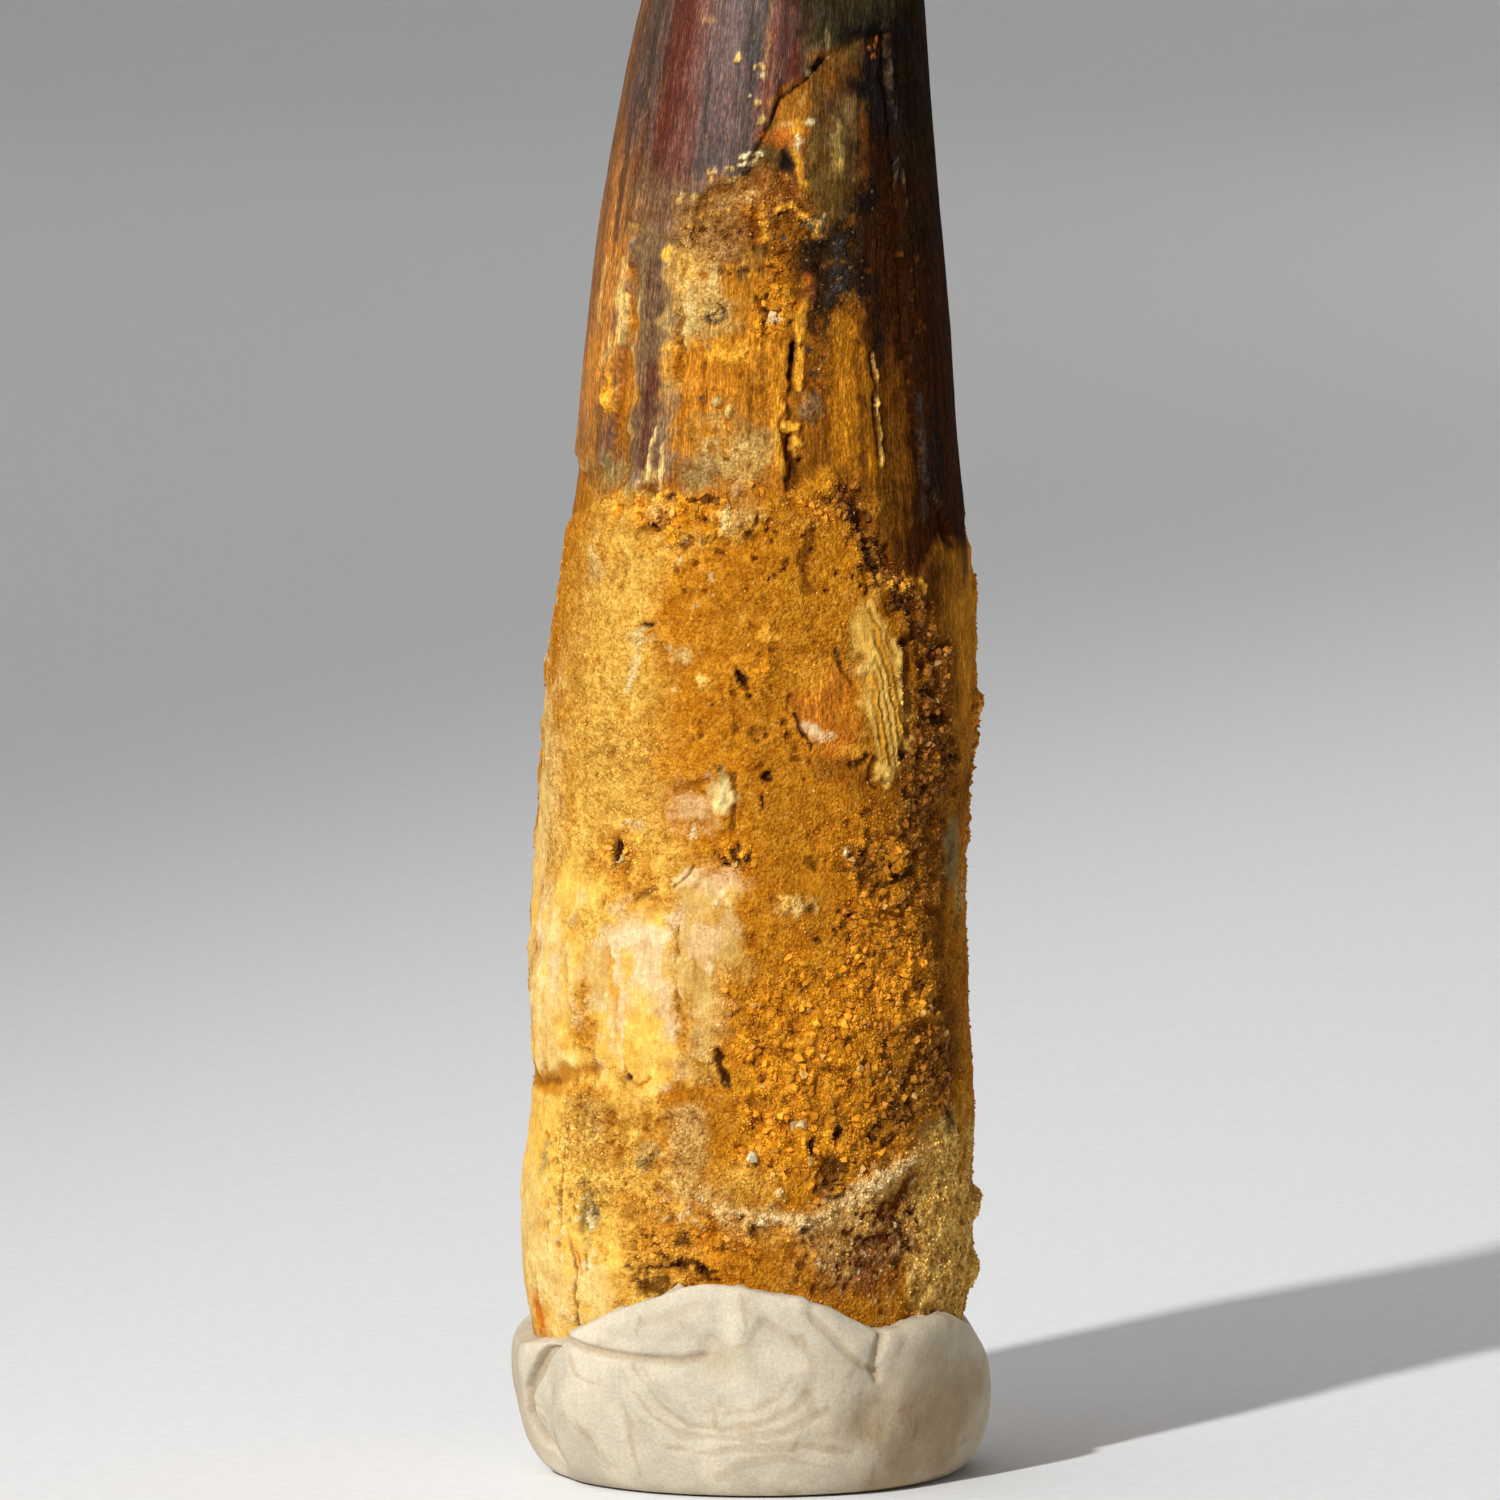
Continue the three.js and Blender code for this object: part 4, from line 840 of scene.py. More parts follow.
MIDDLE_ROOT: tuple[Mark, ...] = (
    # The crumbled hollow, the small slabs below it and the pale knob.
    Patch((-36, 28.3), (2.0, 1.6), RED_SAND, -0.08, 0.7, 0.6, 0.5, LOOSE),
    Patch((-43.6, 29), (0.26, 0.55), SHADOW, -0.3),
    Patch((-46.6, 26.6), (0.26, 0.2), DEEP_SAND, -0.15),
    Patch((-32, 27.2), (0.4, 0.3), SHADOW, -0.17, 0.7, 0.45, 0.7),
    Patch((-42, 28.75), (0.14, 0.12), CHALK, 0.1),
    Patch((-27.5, 26.7), (0.7, 0.36), RUST, 0, 0.45, 0.7, tilt=20),
    Patch((-6, 29.1), (1.2, 0.95), RED_SAND, -0.12, 1, 0.45, 0.4, LOOSE),
    Flecks((-6.5, 29.1), (0.8, 0.4), 5, 0.2, 30, SHADOW, -0.22, 0.85),
    Patch((-20.5, 28), (0.6, 0.36), PINK_BONE, 0.12, finish=BONE, tilt=25),
    Patch((-18, 27.3), (0.9, 0.55), CREAM, 0.08, 1, 0.6, 0.5, BONE),
    Seam(((-23.2, 27.6), (-20.6, 27.9), (-17.4, 28.5)), 0.07, DEEP_SAND, -0.1, wander=0.03),
    Patch((-10.5, 27.7), (1.0, 0.72), PINK_BONE, 0.06, 0.8, 0.7, 0.5, BONE),
    Flecks((-8.4, 27.3), (0.4, 0.5), 6, 0.12, 31, CHALK, 0.1),
    Patch((-5, 27.3), (0.26, 0.16), BLUE_BLACK, 0, 0.5, 0.6),
    Patch((12.6, 26.8), (0.85, 0.4), CREAM, 0.12, 1, 0.7, 0.7, CRUMBLED),
    Patch((9, 27.1), (0.36, 0.34), STRAW, 0.12, 0.8),
    Patch((18, 28.2), (1.0, 1.0), OCHRE, 0, 0.7, 0.6, 0.5, BONE),
    Patch((16.4, 28.7), (0.3, 0.3), DEEP_SAND, -0.15, ragged=0.6),
    Patch((26.6, 29.2), (0.16, 0.2), CHALK, 0.1, 0.8),
    Patch((33.5, 28.5), (0.8, 0.9), DEEP_SAND, -0.15, 1, 0.7, 0.5, LOOSE),
    Patch((41.5, 28.6), (0.7, 0.75), OCHRE, 0.16, 1, 0.6, 0.5, LOOSE),
    Seam(((37, 27.4), (41, 27.7), (45, 28), (49, 28.3)), 0.2, SHADOW, -0.2),
    Patch((10, 24.8), (2.2, 1.2), BROWN_SAND, 0, 1, 0.5, 0.5, CRUST),
    Patch((40, 29), (3.2, 2.2), None, 0, 0.6, 0.6, 0.5, LOOSE),
    Patch((36, 24), (4.2, 2.6), OCHRE, 0, 0.8, 0.5, 0.5, LOOSE),
    Flecks((34, 25), (3.6, 2.4), 26, 0.17, 32, SHADOW, -0.14, 0.7),
    # The bare bone of the left side: a long strip, then plates parted by seams.
    Patch((-86, 27.5), (1.5, 7.6), CREAM_BONE, 0.05, finish=BONE),
    Patch((-50, 22.6), (5.6, 3.9), YELLOW_BONE, 0, 1, 0.4, 0.7, BONE, square=True),
    Fibres((-68, 22.4), (1.75, 3.9), CREAM_BONE, 0.14, finish=BONE, spacing=0.5, depth=0.03, fibre_shading=0.08),
    Patch((-62.5, 23.6), (0.5, 1.1), PINK_BONE, 0, 0.9, 0.6),
    Patch((-72, 25), (0.7, 1.0), PINK_BONE, 0, 0.8, 0.7),
    Seam(((-59.5, 24.6), (-57, 23.4), (-56.4, 21.6), (-57.2, 19.8)), 0.18, STRAW, -0.09, 0.8, 0.7,
         wander=0.06),
    Patch((-46, 24.3), (1.25, 1.7), CREAM, 0.06, 1, 0.6, 0.5, BONE),
    Patch((-50, 25.6), (1.1, 0.8), YELLOW_SAND, 0, 0.7, 0.5, 0.5, CRUMBLED),
    Patch((-50.5, 21.2), (0.8, 1.5), OCHRE, 0, 0.7, 0.5, 0.5, CRUMBLED),
    Flecks((-51, 21.6), (0.7, 1.2), 8, 0.16, 33, PALE_RIM, 0.16, 0.7),
    Flecks((-48, 23), (6, 4.4), 70, 0.3, 72, PALE_BONE, 0, 0.5, 0.9),
    Flecks((-50, 22), (6, 4.2), 60, 0.28, 73, AMBER, 0, 0.4, 0.9),
    Flecks((-24, 24), (3.4, 2.8), 34, 0.22, 74, CHALK, 0, 0.6, 0.9),
    Patch((-36.5, 25.5), (1.0, 0.62), PINK_BONE, 0.06, 1, 0.6, 0.5, BONE),
    Patch((-31.5, 22.7), (1.5, 3.0), PINK_BONE, 0.09, 1, 0.35, 0.7, BONE),
    Patch((-29.5, 20.7), (1.15, 1.9), YELLOW_BONE, 0.04, 1, 0.5, 0.5, BONE),
    Patch((-31.4, 20.2), (0.95, 1.3), YELLOW_BONE, 0.05, 0.9, 0.5, 0.5, BONE),
    Seam(((-36, 19.4), (-33.6, 18.75), (-30.6, 18.6), (-28, 19)), 0.09, OCHRE, -0.1, 1, 0.7),
    Seam(((-40.5, 25), (-37, 23), (-36.2, 21), (-37, 19.4)), 0.12, PINK_BONE, 0.06, 0.7, wander=0.05),
    Seam(((-42, 24.6), (-39.4, 22.6), (-38.6, 20.6)), 0.14, AMBER, -0.08, 0.5, wander=0.05),
    Seam(((-20.6, 26.2), (-20.8, 24.4), (-20, 22.6), (-20.6, 21)), 0.055, BROWN_SAND, -0.09, 0.9,
         wander=0.05),
    Patch((-21, 26.3), (0.36, 0.36), PINK_BONE, 0.06),
    Patch((-12, 24), (1.3, 2.7), CREAM, 0.08, 1, 0.5, 0.5, BONE),
    Patch((-12.5, 25.4), (0.95, 0.8), PINK_BONE, 0, 0.6, 0.5),
    Patch((-12, 24.1), (0.3, 0.28), PINK_BONE, 0.05, ragged=0.8),
    Patch((-9.5, 22), (0.7, 0.7), CREAM_BONE, 0, 0.9, 0.4, 0.5, BONE),
    Seam(((-16, 25.8), (-15.4, 23.6), (-15.8, 21.6)), 0.07, BROWN_SAND, -0.08, 0.5),
    Patch((-14.6, 20.8), (0.4, 0.5), BLUE_BLACK, 0, 0.35, 0.7, 0.6),
    Patch((-13, 20.2), (0.4, 0.3), PALE_RIM, 0.1, ragged=0.6),
    # The right side.
    Patch((62.6, 24.4), (0.4, 2.6), SHADOW, -0.1, 0.5, 0.6, 0.7),
    Patch((69, 28.8), (0.85, 1.7), GREEN_GREY, 0, 0.6, 0.4, 0.5, BONE),
    Patch((68, 28.5), (0.3, 0.34), BLACK, 0, 0.6, 0.6),
    Patch((76, 26.6), (0.8, 1.3), GREY_CRUMB, 0, 0.6, 0.4, 0.5, SANDSTONE),
    Patch((53, 24), (1.0, 4.6), BROWN_SAND, 0, 0.5, 0.7, 0.8, LOOSE),
    Patch((86, 35.2), (0.7, 0.7), BROWN_SAND, 0.3, finish=LOOSE),
)

LOWER_ROOT: tuple[Mark, ...] = (
    # The notch below the bone plates and the fibrous foot of the left side.
    Patch((-66, 12.4), (4.2, 5.6), YELLOW_BONE, 0, 1, 0.3, 0.5, BONE, square=True),
    Patch((-46, 10.2), (1.7, 3.2), YELLOW_BONE, 0, 0.9, 0.3, 0.5, BONE),
    # The notch's gold and brown band is painted shadow under the ledge of the bone plates.
    Seam(((-90, 18.2), (-76, 18.2), (-66, 18.5), (-56, 18.8), (-47, 19.3)), 0.42, GOLD_DENTINE, -0.17, 0.8,
         0.9, wander=0.2),
    Seam(((-90, 17.8), (-80, 17.9), (-70, 18.1), (-63, 18.4)), 0.16, BROWN_DENTINE, -0.08, 0.7, 0.8),
    Seam(((-80, 17.9), (-62, 17.9), (-50, 18.3), (-42, 18.2)), 0.25, OCHRE, 0, 0.8, 0.6),
    Seam(((-76, 17.4), (-62, 17.5), (-51, 17.7)), 0.13, PALE_RIM, 0.05, 0.7, 0.45, 0.8),
    Patch((-34.4, 19), (0.2, 0.16), SHADOW, -0.17),
    Patch((-50, 16.4), (1.8, 1.4), YELLOW_SAND, 0, 1, 0.6, 0.5, CRUMBLED),
    Patch((-46.5, 16.9), (0.9, 1.0), ROSE_ENAMEL, 0, 0.35, 0.9, 0.6),
    Patch((-38, 16.4), (0.9, 1.2), BROWN_SAND, 0, 0.6, 0.7, 0.9, CRUST),
    Patch((-44, 15), (2.8, 2.6), None, 0, 0.8, 0.7, 0.5, SCABBY),
    Flecks((-46, 14.8), (4.2, 2.8), 60, 0.17, 75, STRAW, 0.07, 0.6),
    Flecks((-44, 14.6), (4.2, 2.8), 44, 0.14, 76, BROWN_SAND, -0.09, 0.65),
    Flecks((-40, 14), (5, 2.8), 26, 0.1, 77, CHALK, 0.05, 0.7),
    Flecks((-64, 10), (3.2, 3), 40, 0.2, 78, PALE_BONE, 0.05, 0.6, 0.7),
    Flecks((-60, 11), (3.6, 3.4), 20, 0.12, 79, MAROON, -0.06, 0.45),
    Patch((-66, 14.8), (0.26, 0.7), GREEN_GREY, 0, 0.6, 0.7, 0.6),
    Patch((-56, 13.4), (0.2, 0.7), GREEN_GREY, 0, 0.5, 0.7, 0.6),
    Patch((-45, 12.8), (0.5, 0.95), GREEN_GREY, 0, 0.65, 0.7, 0.9, CRUMBLED),
    Flecks((-47, 13.4), (0.9, 1.2), 12, 0.1, 61, GREEN_GREY, -0.05, 0.7),
    Patch((-43.5, 13), (0.22, 0.4), BLUE_BLACK, 0, 0.5, 0.45, 0.7),
    Flecks((-46, 12.2), (0.5, 0.25), 5, 0.13, 34, CHALK, 0.06),
    Patch((-72, 10.4), (1.4, 3.2), CREAM_BONE, 0.05, 1, 0.6, 0.5, BONE),
    Patch((-60, 9.4), (1.2, 2.6), CREAM_BONE, 0.06, 1, 0.5, 0.5, BONE),
    Patch((-44, 9), (0.95, 1.3), CREAM_BONE, 0.08, 1, 0.4, 0.5, BONE),
    Patch((-85, 11), (1.4, 4), CREAM_BONE, finish=BONE),
    Seam(((-51.6, 11.2), (-50, 9.8), (-51, 8.8), (-51.4, 7.2)), 0.07, MAROON, -0.1, 0.7, wander=0.05),
    Flecks((-56, 10.4), (2.2, 2.4), 16, 0.2, 60, PALE_BONE, 0.06, 0.7),
    Seam(((-52.4, 11.8), (-48, 10.2), (-46, 9.4)), 0.08, RUST, -0.08, 0.6),
    Seam(((-46.6, 10.8), (-44, 9.6), (-42.6, 9)), 0.08, MAROON, -0.08, 0.6),
    Seam(((-60.4, 12), (-60.6, 11), (-60, 10.6)), 0.1, MAROON, 0, 0.7),
    Seam(((-68, 9.8), (-70, 8.6), (-70, 7.6)), 0.1, MAROON, 0, 0.6),
    Seam(((-56, 14.2), (-55.4, 12.6), (-56, 11)), 0.1, OCHRE, -0.12, 0.8),
    Seam(((-48, 14.6), (-47, 13), (-48, 11.8)), 0.1, GREEN_GREY, -0.12, 0.6),
    Patch((-71.5, 7.5), (0.7, 0.85), RUST, 0, 1, 0.45, 0.4, BONE),
    Patch((-74, 7.1), (0.4, 0.3), AMBER, 0, 0.8),
    # The bed of coarse sand and what lies in it.
    Patch((24, 18.6), (5.8, 5.4), RED_SAND, 0.06, 0.9, 0.3, 0.3, LOOSE, square=True),
    Patch((-12, 17.6), (1.7, 1.9), BROWN_SAND, 0, 1, 0.5, 0.5, CRUST),
    Patch((43, 18.4), (2.4, 2.0), DEEP_SAND, 0, 0.6, 0.7, 0.8),
    Patch((58, 19), (1.8, 2.2), BROWN_DENTINE, 0, 0.7, 0.6, 0.5, LOOSE),
    Patch((22, 14.7), (0.8, 0.7), SHADOW, -0.15, 0.8, 0.6, 0.9),
    Patch((16.2, 16.1), (0.26, 0.42), SHADOW, -0.22, ragged=0.4),
    Patch((23.4, 16.7), (0.26, 0.4), SHADOW, -0.19),
    Patch((23, 13.7), (0.6, 0.14), SHADOW, -0.2),
    Patch((41, 17.1), (1.1, 0.6), SHADOW, -0.1, 0.7, 0.8, 0.8, tilt=15),
    Patch((33.4, 16.2), (0.4, 0.22), SHADOW, -0.17, ragged=0.6),
    Patch((46, 18.8), (0.8, 0.5), SHADOW, -0.1, 0.6, 0.8, 0.8),
    Seam(((-8.8, 20.4), (-8, 19.4), (-6.8, 18.8)), 0.15, SHADOW, -0.17, wander=0.05),
    Patch((-14.5, 19.6), (0.7, 0.7), GREY_CRUMB, 0, 0.3, 0.45, 0.8, LOOSE),
    Patch((12, 17.1), (0.24, 0.13), PALE_BONE, 0.16, ragged=0.4, tilt=10),
    Patch((0.4, 15.5), (0.15, 0.22), PALE_BONE, 0.2),
    Patch((8, 13.95), (0.16, 0.18), PALE_BONE, 0.18),
    Patch((-0.6, 12.4), (0.16, 0.24), PALE_RIM, 0.18),
    Patch((15.5, 15.4), (0.16, 0.22), PALE_RIM, 0.16, ragged=0.4),
    Patch((-1, 14.4), (1.3, 0.75), YELLOW_SAND, 0, 0.7, 0.7, 0.5, CRUMBLED),
    Patch((-26, 11.7), (2.3, 1.9), OCHRE, 0, 0.8, 0.6, 0.5, LOOSE),
    Patch((-5, 11.7), (1.4, 1.4), OCHRE, 0, 0.8, 0.5, 0.5, LOOSE),
    Patch((-29, 15.6), (0.5, 0.6), GREY_CRUMB, 0, 0.7, 0.45, 0.6, LOOSE),
    # The pale rim of the sand bed.
    Seam(((-16.6, 17.2), (-16.8, 15.6), (-18, 14.5), (-15, 13.8), (-8, 13.2), (-2, 12.8), (6, 12.5),
         (14, 12.4), (21, 12.8), (27, 13.2), (33, 13.7), (41, 14.4), (49, 15), (56, 15.6), (63, 16.3)), 0.7,
         PALE_RIM, 0.08, 0.6, 0.8, 0.6, SANDSTONE, wander=0.3),
    Seam(((-13, 13.6), (-6, 13.2), (0, 12.9), (7, 12.6), (13, 12.4), (19, 12.9), (26, 13.4), (33, 14),
         (40, 14.7), (47, 15.2)), 0.2, PALE_BONE, 0.12, 0.5, 0.8, 0.95, SANDSTONE, wander=0.35),
    Flecks((-15, 12.9), (1.4, 0.25), 7, 0.13, 35, CHALK, 0.08, 0.8),
    Flecks((14, 12.7), (2.6, 0.3), 10, 0.1, 36, CHALK, 0.06, 0.7),
    Flecks((38, 14.4), (1.7, 0.45), 11, 0.1, 37, CHALK, 0.05, 0.6),
    # The speckled stone of the lower right, with its maroon stains.
    Patch((67, 11.6), (3.9, 4.4), BEIGE, 0, 1, 0.2, 0.5, SANDSTONE, square=True),
    Patch((62, 15.6), (1.2, 1.0), BEIGE, 0, 1, 0.4, 0.5, SANDSTONE),
    Patch((28, 11.6), (2.9, 1.7), PALE_RIM, 0, 0.5, 0.5, 0.4, SANDSTONE),
    Patch((18, 11.6), (0.9, 0.9), ROSE_ENAMEL, 0, 0.3, 0.8, 0.8),
    Patch((30, 9.9), (1.7, 0.9), ROSE_ENAMEL, 0, 0.45, 0.7, 0.7, SANDSTONE),
    Patch((45.6, 13.4), (0.75, 0.9), MAROON, -0.06, 0.85, 0.7, 0.95, SANDSTONE),
    Flecks((38, 11.6), (2.4, 1.6), 34, 0.13, 69, MAROON, -0.1, 0.8),
    Flecks((40, 11.8), (2.6, 1.7), 44, 0.12, 80, YELLOW_SAND, 0.06, 0.75),
    Flecks((52, 12), (4.6, 3.2), 44, 0.14, 70, PALE_RIM, 0.06, 0.6),
    Flecks((54, 11.4), (4.6, 3.2), 36, 0.13, 71, MAROON, -0.07, 0.5),
    Patch((38, 11.3), (1.6, 1.0), MAROON, -0.06, 0.78, 0.7, 0.95, SANDSTONE, tilt=20),
    Patch((35.4, 9.9), (1.1, 0.8), MAROON, 0, 0.45, 0.45, 0.8),
    Patch((20, 10.8), (0.3, 0.25), MAROON, 0, 0.6),
    Flecks((41.5, 12.1), (0.5, 0.3), 5, 0.1, 38, CHALK, 0.07, 0.8),
    Flecks((30, 11.4), (2.6, 1.5), 26, 0.09, 39, CHALK, 0.05, 0.6),
    Flecks((32, 11), (3.4, 1.8), 34, 0.12, 40, MAROON, -0.09, 0.7),
    Flecks((52, 10.4), (1.5, 2.0), 18, 0.1, 41, CHALK, 0.05, 0.55),
    Flecks((63, 11), (2.6, 3.0), 22, 0.15, 42, DEEP_SAND, -0.08, 0.6),
    Patch((64, 16.5), (0.45, 0.6), OLIVE_ENAMEL, 0, 0.75, 0.6, 0.4),
    Flecks((-8, 11.4), (4.4, 1.5), 40, 0.16, 67, SHADOW, -0.12, 0.7),
    Flecks((-6, 11.6), (4.2, 1.4), 30, 0.15, 68, AMBER, 0.08, 0.6),
    Patch((8, 11.5), (1.0, 1.0), GOLD_DENTINE, 0, 0.8, 0.7, 0.5, CRUMBLED),
    Patch((9.6, 12.2), (0.5, 0.4), AMBER, 0, 0.5, 0.8),
    Patch((0, 10.4), (1.3, 0.6), GOLD_DENTINE, 0, 0.7, 0.6, 0.5, CRUMBLED),
    Seam(((-28, 10.4), (-22, 10.6), (-15, 10.8), (-9, 10.3)), 0.13, SHADOW, -0.17, 0.85, 0.45, 0.9),
    Seam(((-14, 10.6), (-10, 10), (-8, 9.9)), 0.15, SHADOW, -0.14, ragged=0.8),
    Patch((-26, 9.6), (0.8, 0.4), SHADOW, -0.22, 0.8, 0.45, 0.8),
    # Knobs that show on the outline.
    Patch((84, 12.4), (0.6, 0.6), BEIGE, 0.4, finish=SANDSTONE),
    Patch((84, 9.4), (0.8, 0.7), BEIGE, 0.3, finish=SANDSTONE),
    Patch((-88, 13.5), (0.7, 1.1), finish=BONE, rise=0.1),
)

REAR: tuple[Mark, ...] = (
    Patch((-122, 31), (4.6, 8), BROWN_SAND, 0.25, finish=CRUST),
    Patch((-128, 20), (3, 4.6), PINK_BONE, 0.12, 1, 0.2, 0.5, BONE),
    Patch((-122, 22), (0.9, 2.4), YELLOW_BONE, 0, 0.8, 0.5),
    Patch((-110, 21), (1.6, 4), CREAM_BONE, 0.1, 1, 0.2, 0.5, BONE),
    Seam(((-118, 26), (-116.5, 22), (-118, 17)), 0.16, BROWN_SAND, -0.19),
    Patch((-112, 12), (3.4, 3.6), YELLOW_BONE, 0, 0.9, 0.2, 0.5, BONE),
    Patch((-106, 9.6), (1.4, 2.4), PALE_BONE, 0.08, 1, 0.25, 0.5, BONE),
    Patch((-128, 12), (2.2, 2.4), RED_SAND, finish=LOOSE),
    Patch((160, 25), (7, 9), OCHRE, 0.2, 1, 0.45, 0.4, LOOSE),
    Patch((150, 31), (2.6, 3.6), DEEP_SAND, 0, 0.7, 0.7, 0.7),
    Patch((176, 21), (2.2, 2.4), BROWN_SAND, 0, 1, 0.45, 0.6, CRUST),
    Patch((168, 13), (3.6, 3), BEIGE, finish=SANDSTONE),
    Flecks((168, 13), (3, 2.4), 24, 0.16, 50, MAROON, -0.08, 0.6),
    Flecks((160, 12), (3, 2.4), 20, 0.15, 51, CHALK, 0.06, 0.7),
    Patch((-164, 24), (1.8, 4.6), CREAM_BONE, 0.12, 1, 0.3, 0.4, BONE),
    Patch((-158, 20), (1.1, 2.2), YELLOW_BONE, 0.05, 1, 0.4, 0.5, BONE),
    Seam(((-160.5, 28), (-160, 24), (-161.5, 20)), 0.16, DEEP_SAND, -0.19),
    Patch((-172, 41), (2.2, 3), STRAW, -0.17, 1, 0.25, 0.5, BONE),
    Seam(((-176, 43), (-173, 41), (-170, 39)), 0.14, PALE_BONE, 0.14),
    Seam(((-178, 42), (-175, 40), (-172, 38.4)), 0.12, BROWN_DENTINE, -0.14),
    Patch((172, 27), (0.6, 1.0), SHADOW, -0.5, ragged=0.4),
    Patch((112, 37), (3.4, 5.4), OCHRE, 0.2, finish=CRUST),
    Patch((100, 32), (2.2, 3), BROWN_SAND, 0, 1, 0.45, 0.6, LOOSE),
    Patch((122, 17), (2.4, 4), CREAM, 0.12, 1, 0.2, 0.25, BONE),
    Seam(((126, 20), (125, 17), (127, 14)), 0.15, BROWN_SAND, -0.17),
    Patch((104, 24), (2, 2.6), MAROON, 0, 0.4, 0.7, 0.8),
    Patch((100, 13), (2.4, 3.4), BEIGE, 0, 1, 0.4, 0.5, SANDSTONE),
    Patch((139, 24), (2, 3), RED_SAND, -0.15, finish=LOOSE),
    Patch((140, 52), (1.9, 3.6), BLUE_BLACK, 0, 0.85, 0.45, 0.6, CRUMBLED),
    Patch((-150, 49), (2.2, 2.2), AMBER, 0, 0.7, 0.45, 0.6, CRUMBLED),
    Patch((175, 51), (1.8, 3), GREY_CRUMB, 0.16, finish=CRUMBLED, square=True),
    Patch((-118, 47), (2.2, 2.8), ORANGE_DENTINE, 0, 0.8, finish=DENTINE),
    Patch((-175, 45.6), (3, 1), RED_SAND, 0.14, 1, 0.45, 0.6, LOOSE),
    Seam(((-142, 13), (-139, 19), (-141.5, 25), (-138, 31), (-139.5, 35), (-136, 39)), 0.2, SHADOW,
         -0.25, 0.7, 0.45, 0.7, wander=0.7),
    Seam(((-141.5, 25), (-146, 28), (-147, 31)), 0.14, BROWN_SAND, -0.16, 0.7, wander=0.5),
    Seam(((150, 60), (153, 52), (149, 46)), 0.15, STRAW, 0.14),
    Seam(((148.6, 60), (151.6, 52), (147.6, 46)), 0.15, SHADOW, -0.17),
    Seam(((112, 62), (116, 54), (113, 46)), 0.24, SHADOW, -0.22),
    Seam(((-172, 17), (176, 15.8), (160, 17), (140, 16)), 0.4, PALE_RIM, 0.2, 1, 0.5, 0.4, SANDSTONE),
    Flecks((-160, 56), (3.2, 2.4), 16, 0.1, 52, CHALK, 0.05, 0.5, 0.7),
    Flecks((130, 60), (2.2, 2.6), 12, 0.1, 53, CHALK, 0.05, 0.5, 0.7),
    Flecks((-100, 40), (2.6, 3.6), 9, 0.24, 54, CHALK, 0.04, 0.7),
    Flecks((-175, 33), (3.6, 6), 18, 0.22, 55, SHADOW, -0.19),
    Flecks((120, 31), (4, 6), 18, 0.2, 56, SHADOW, -0.17),
)

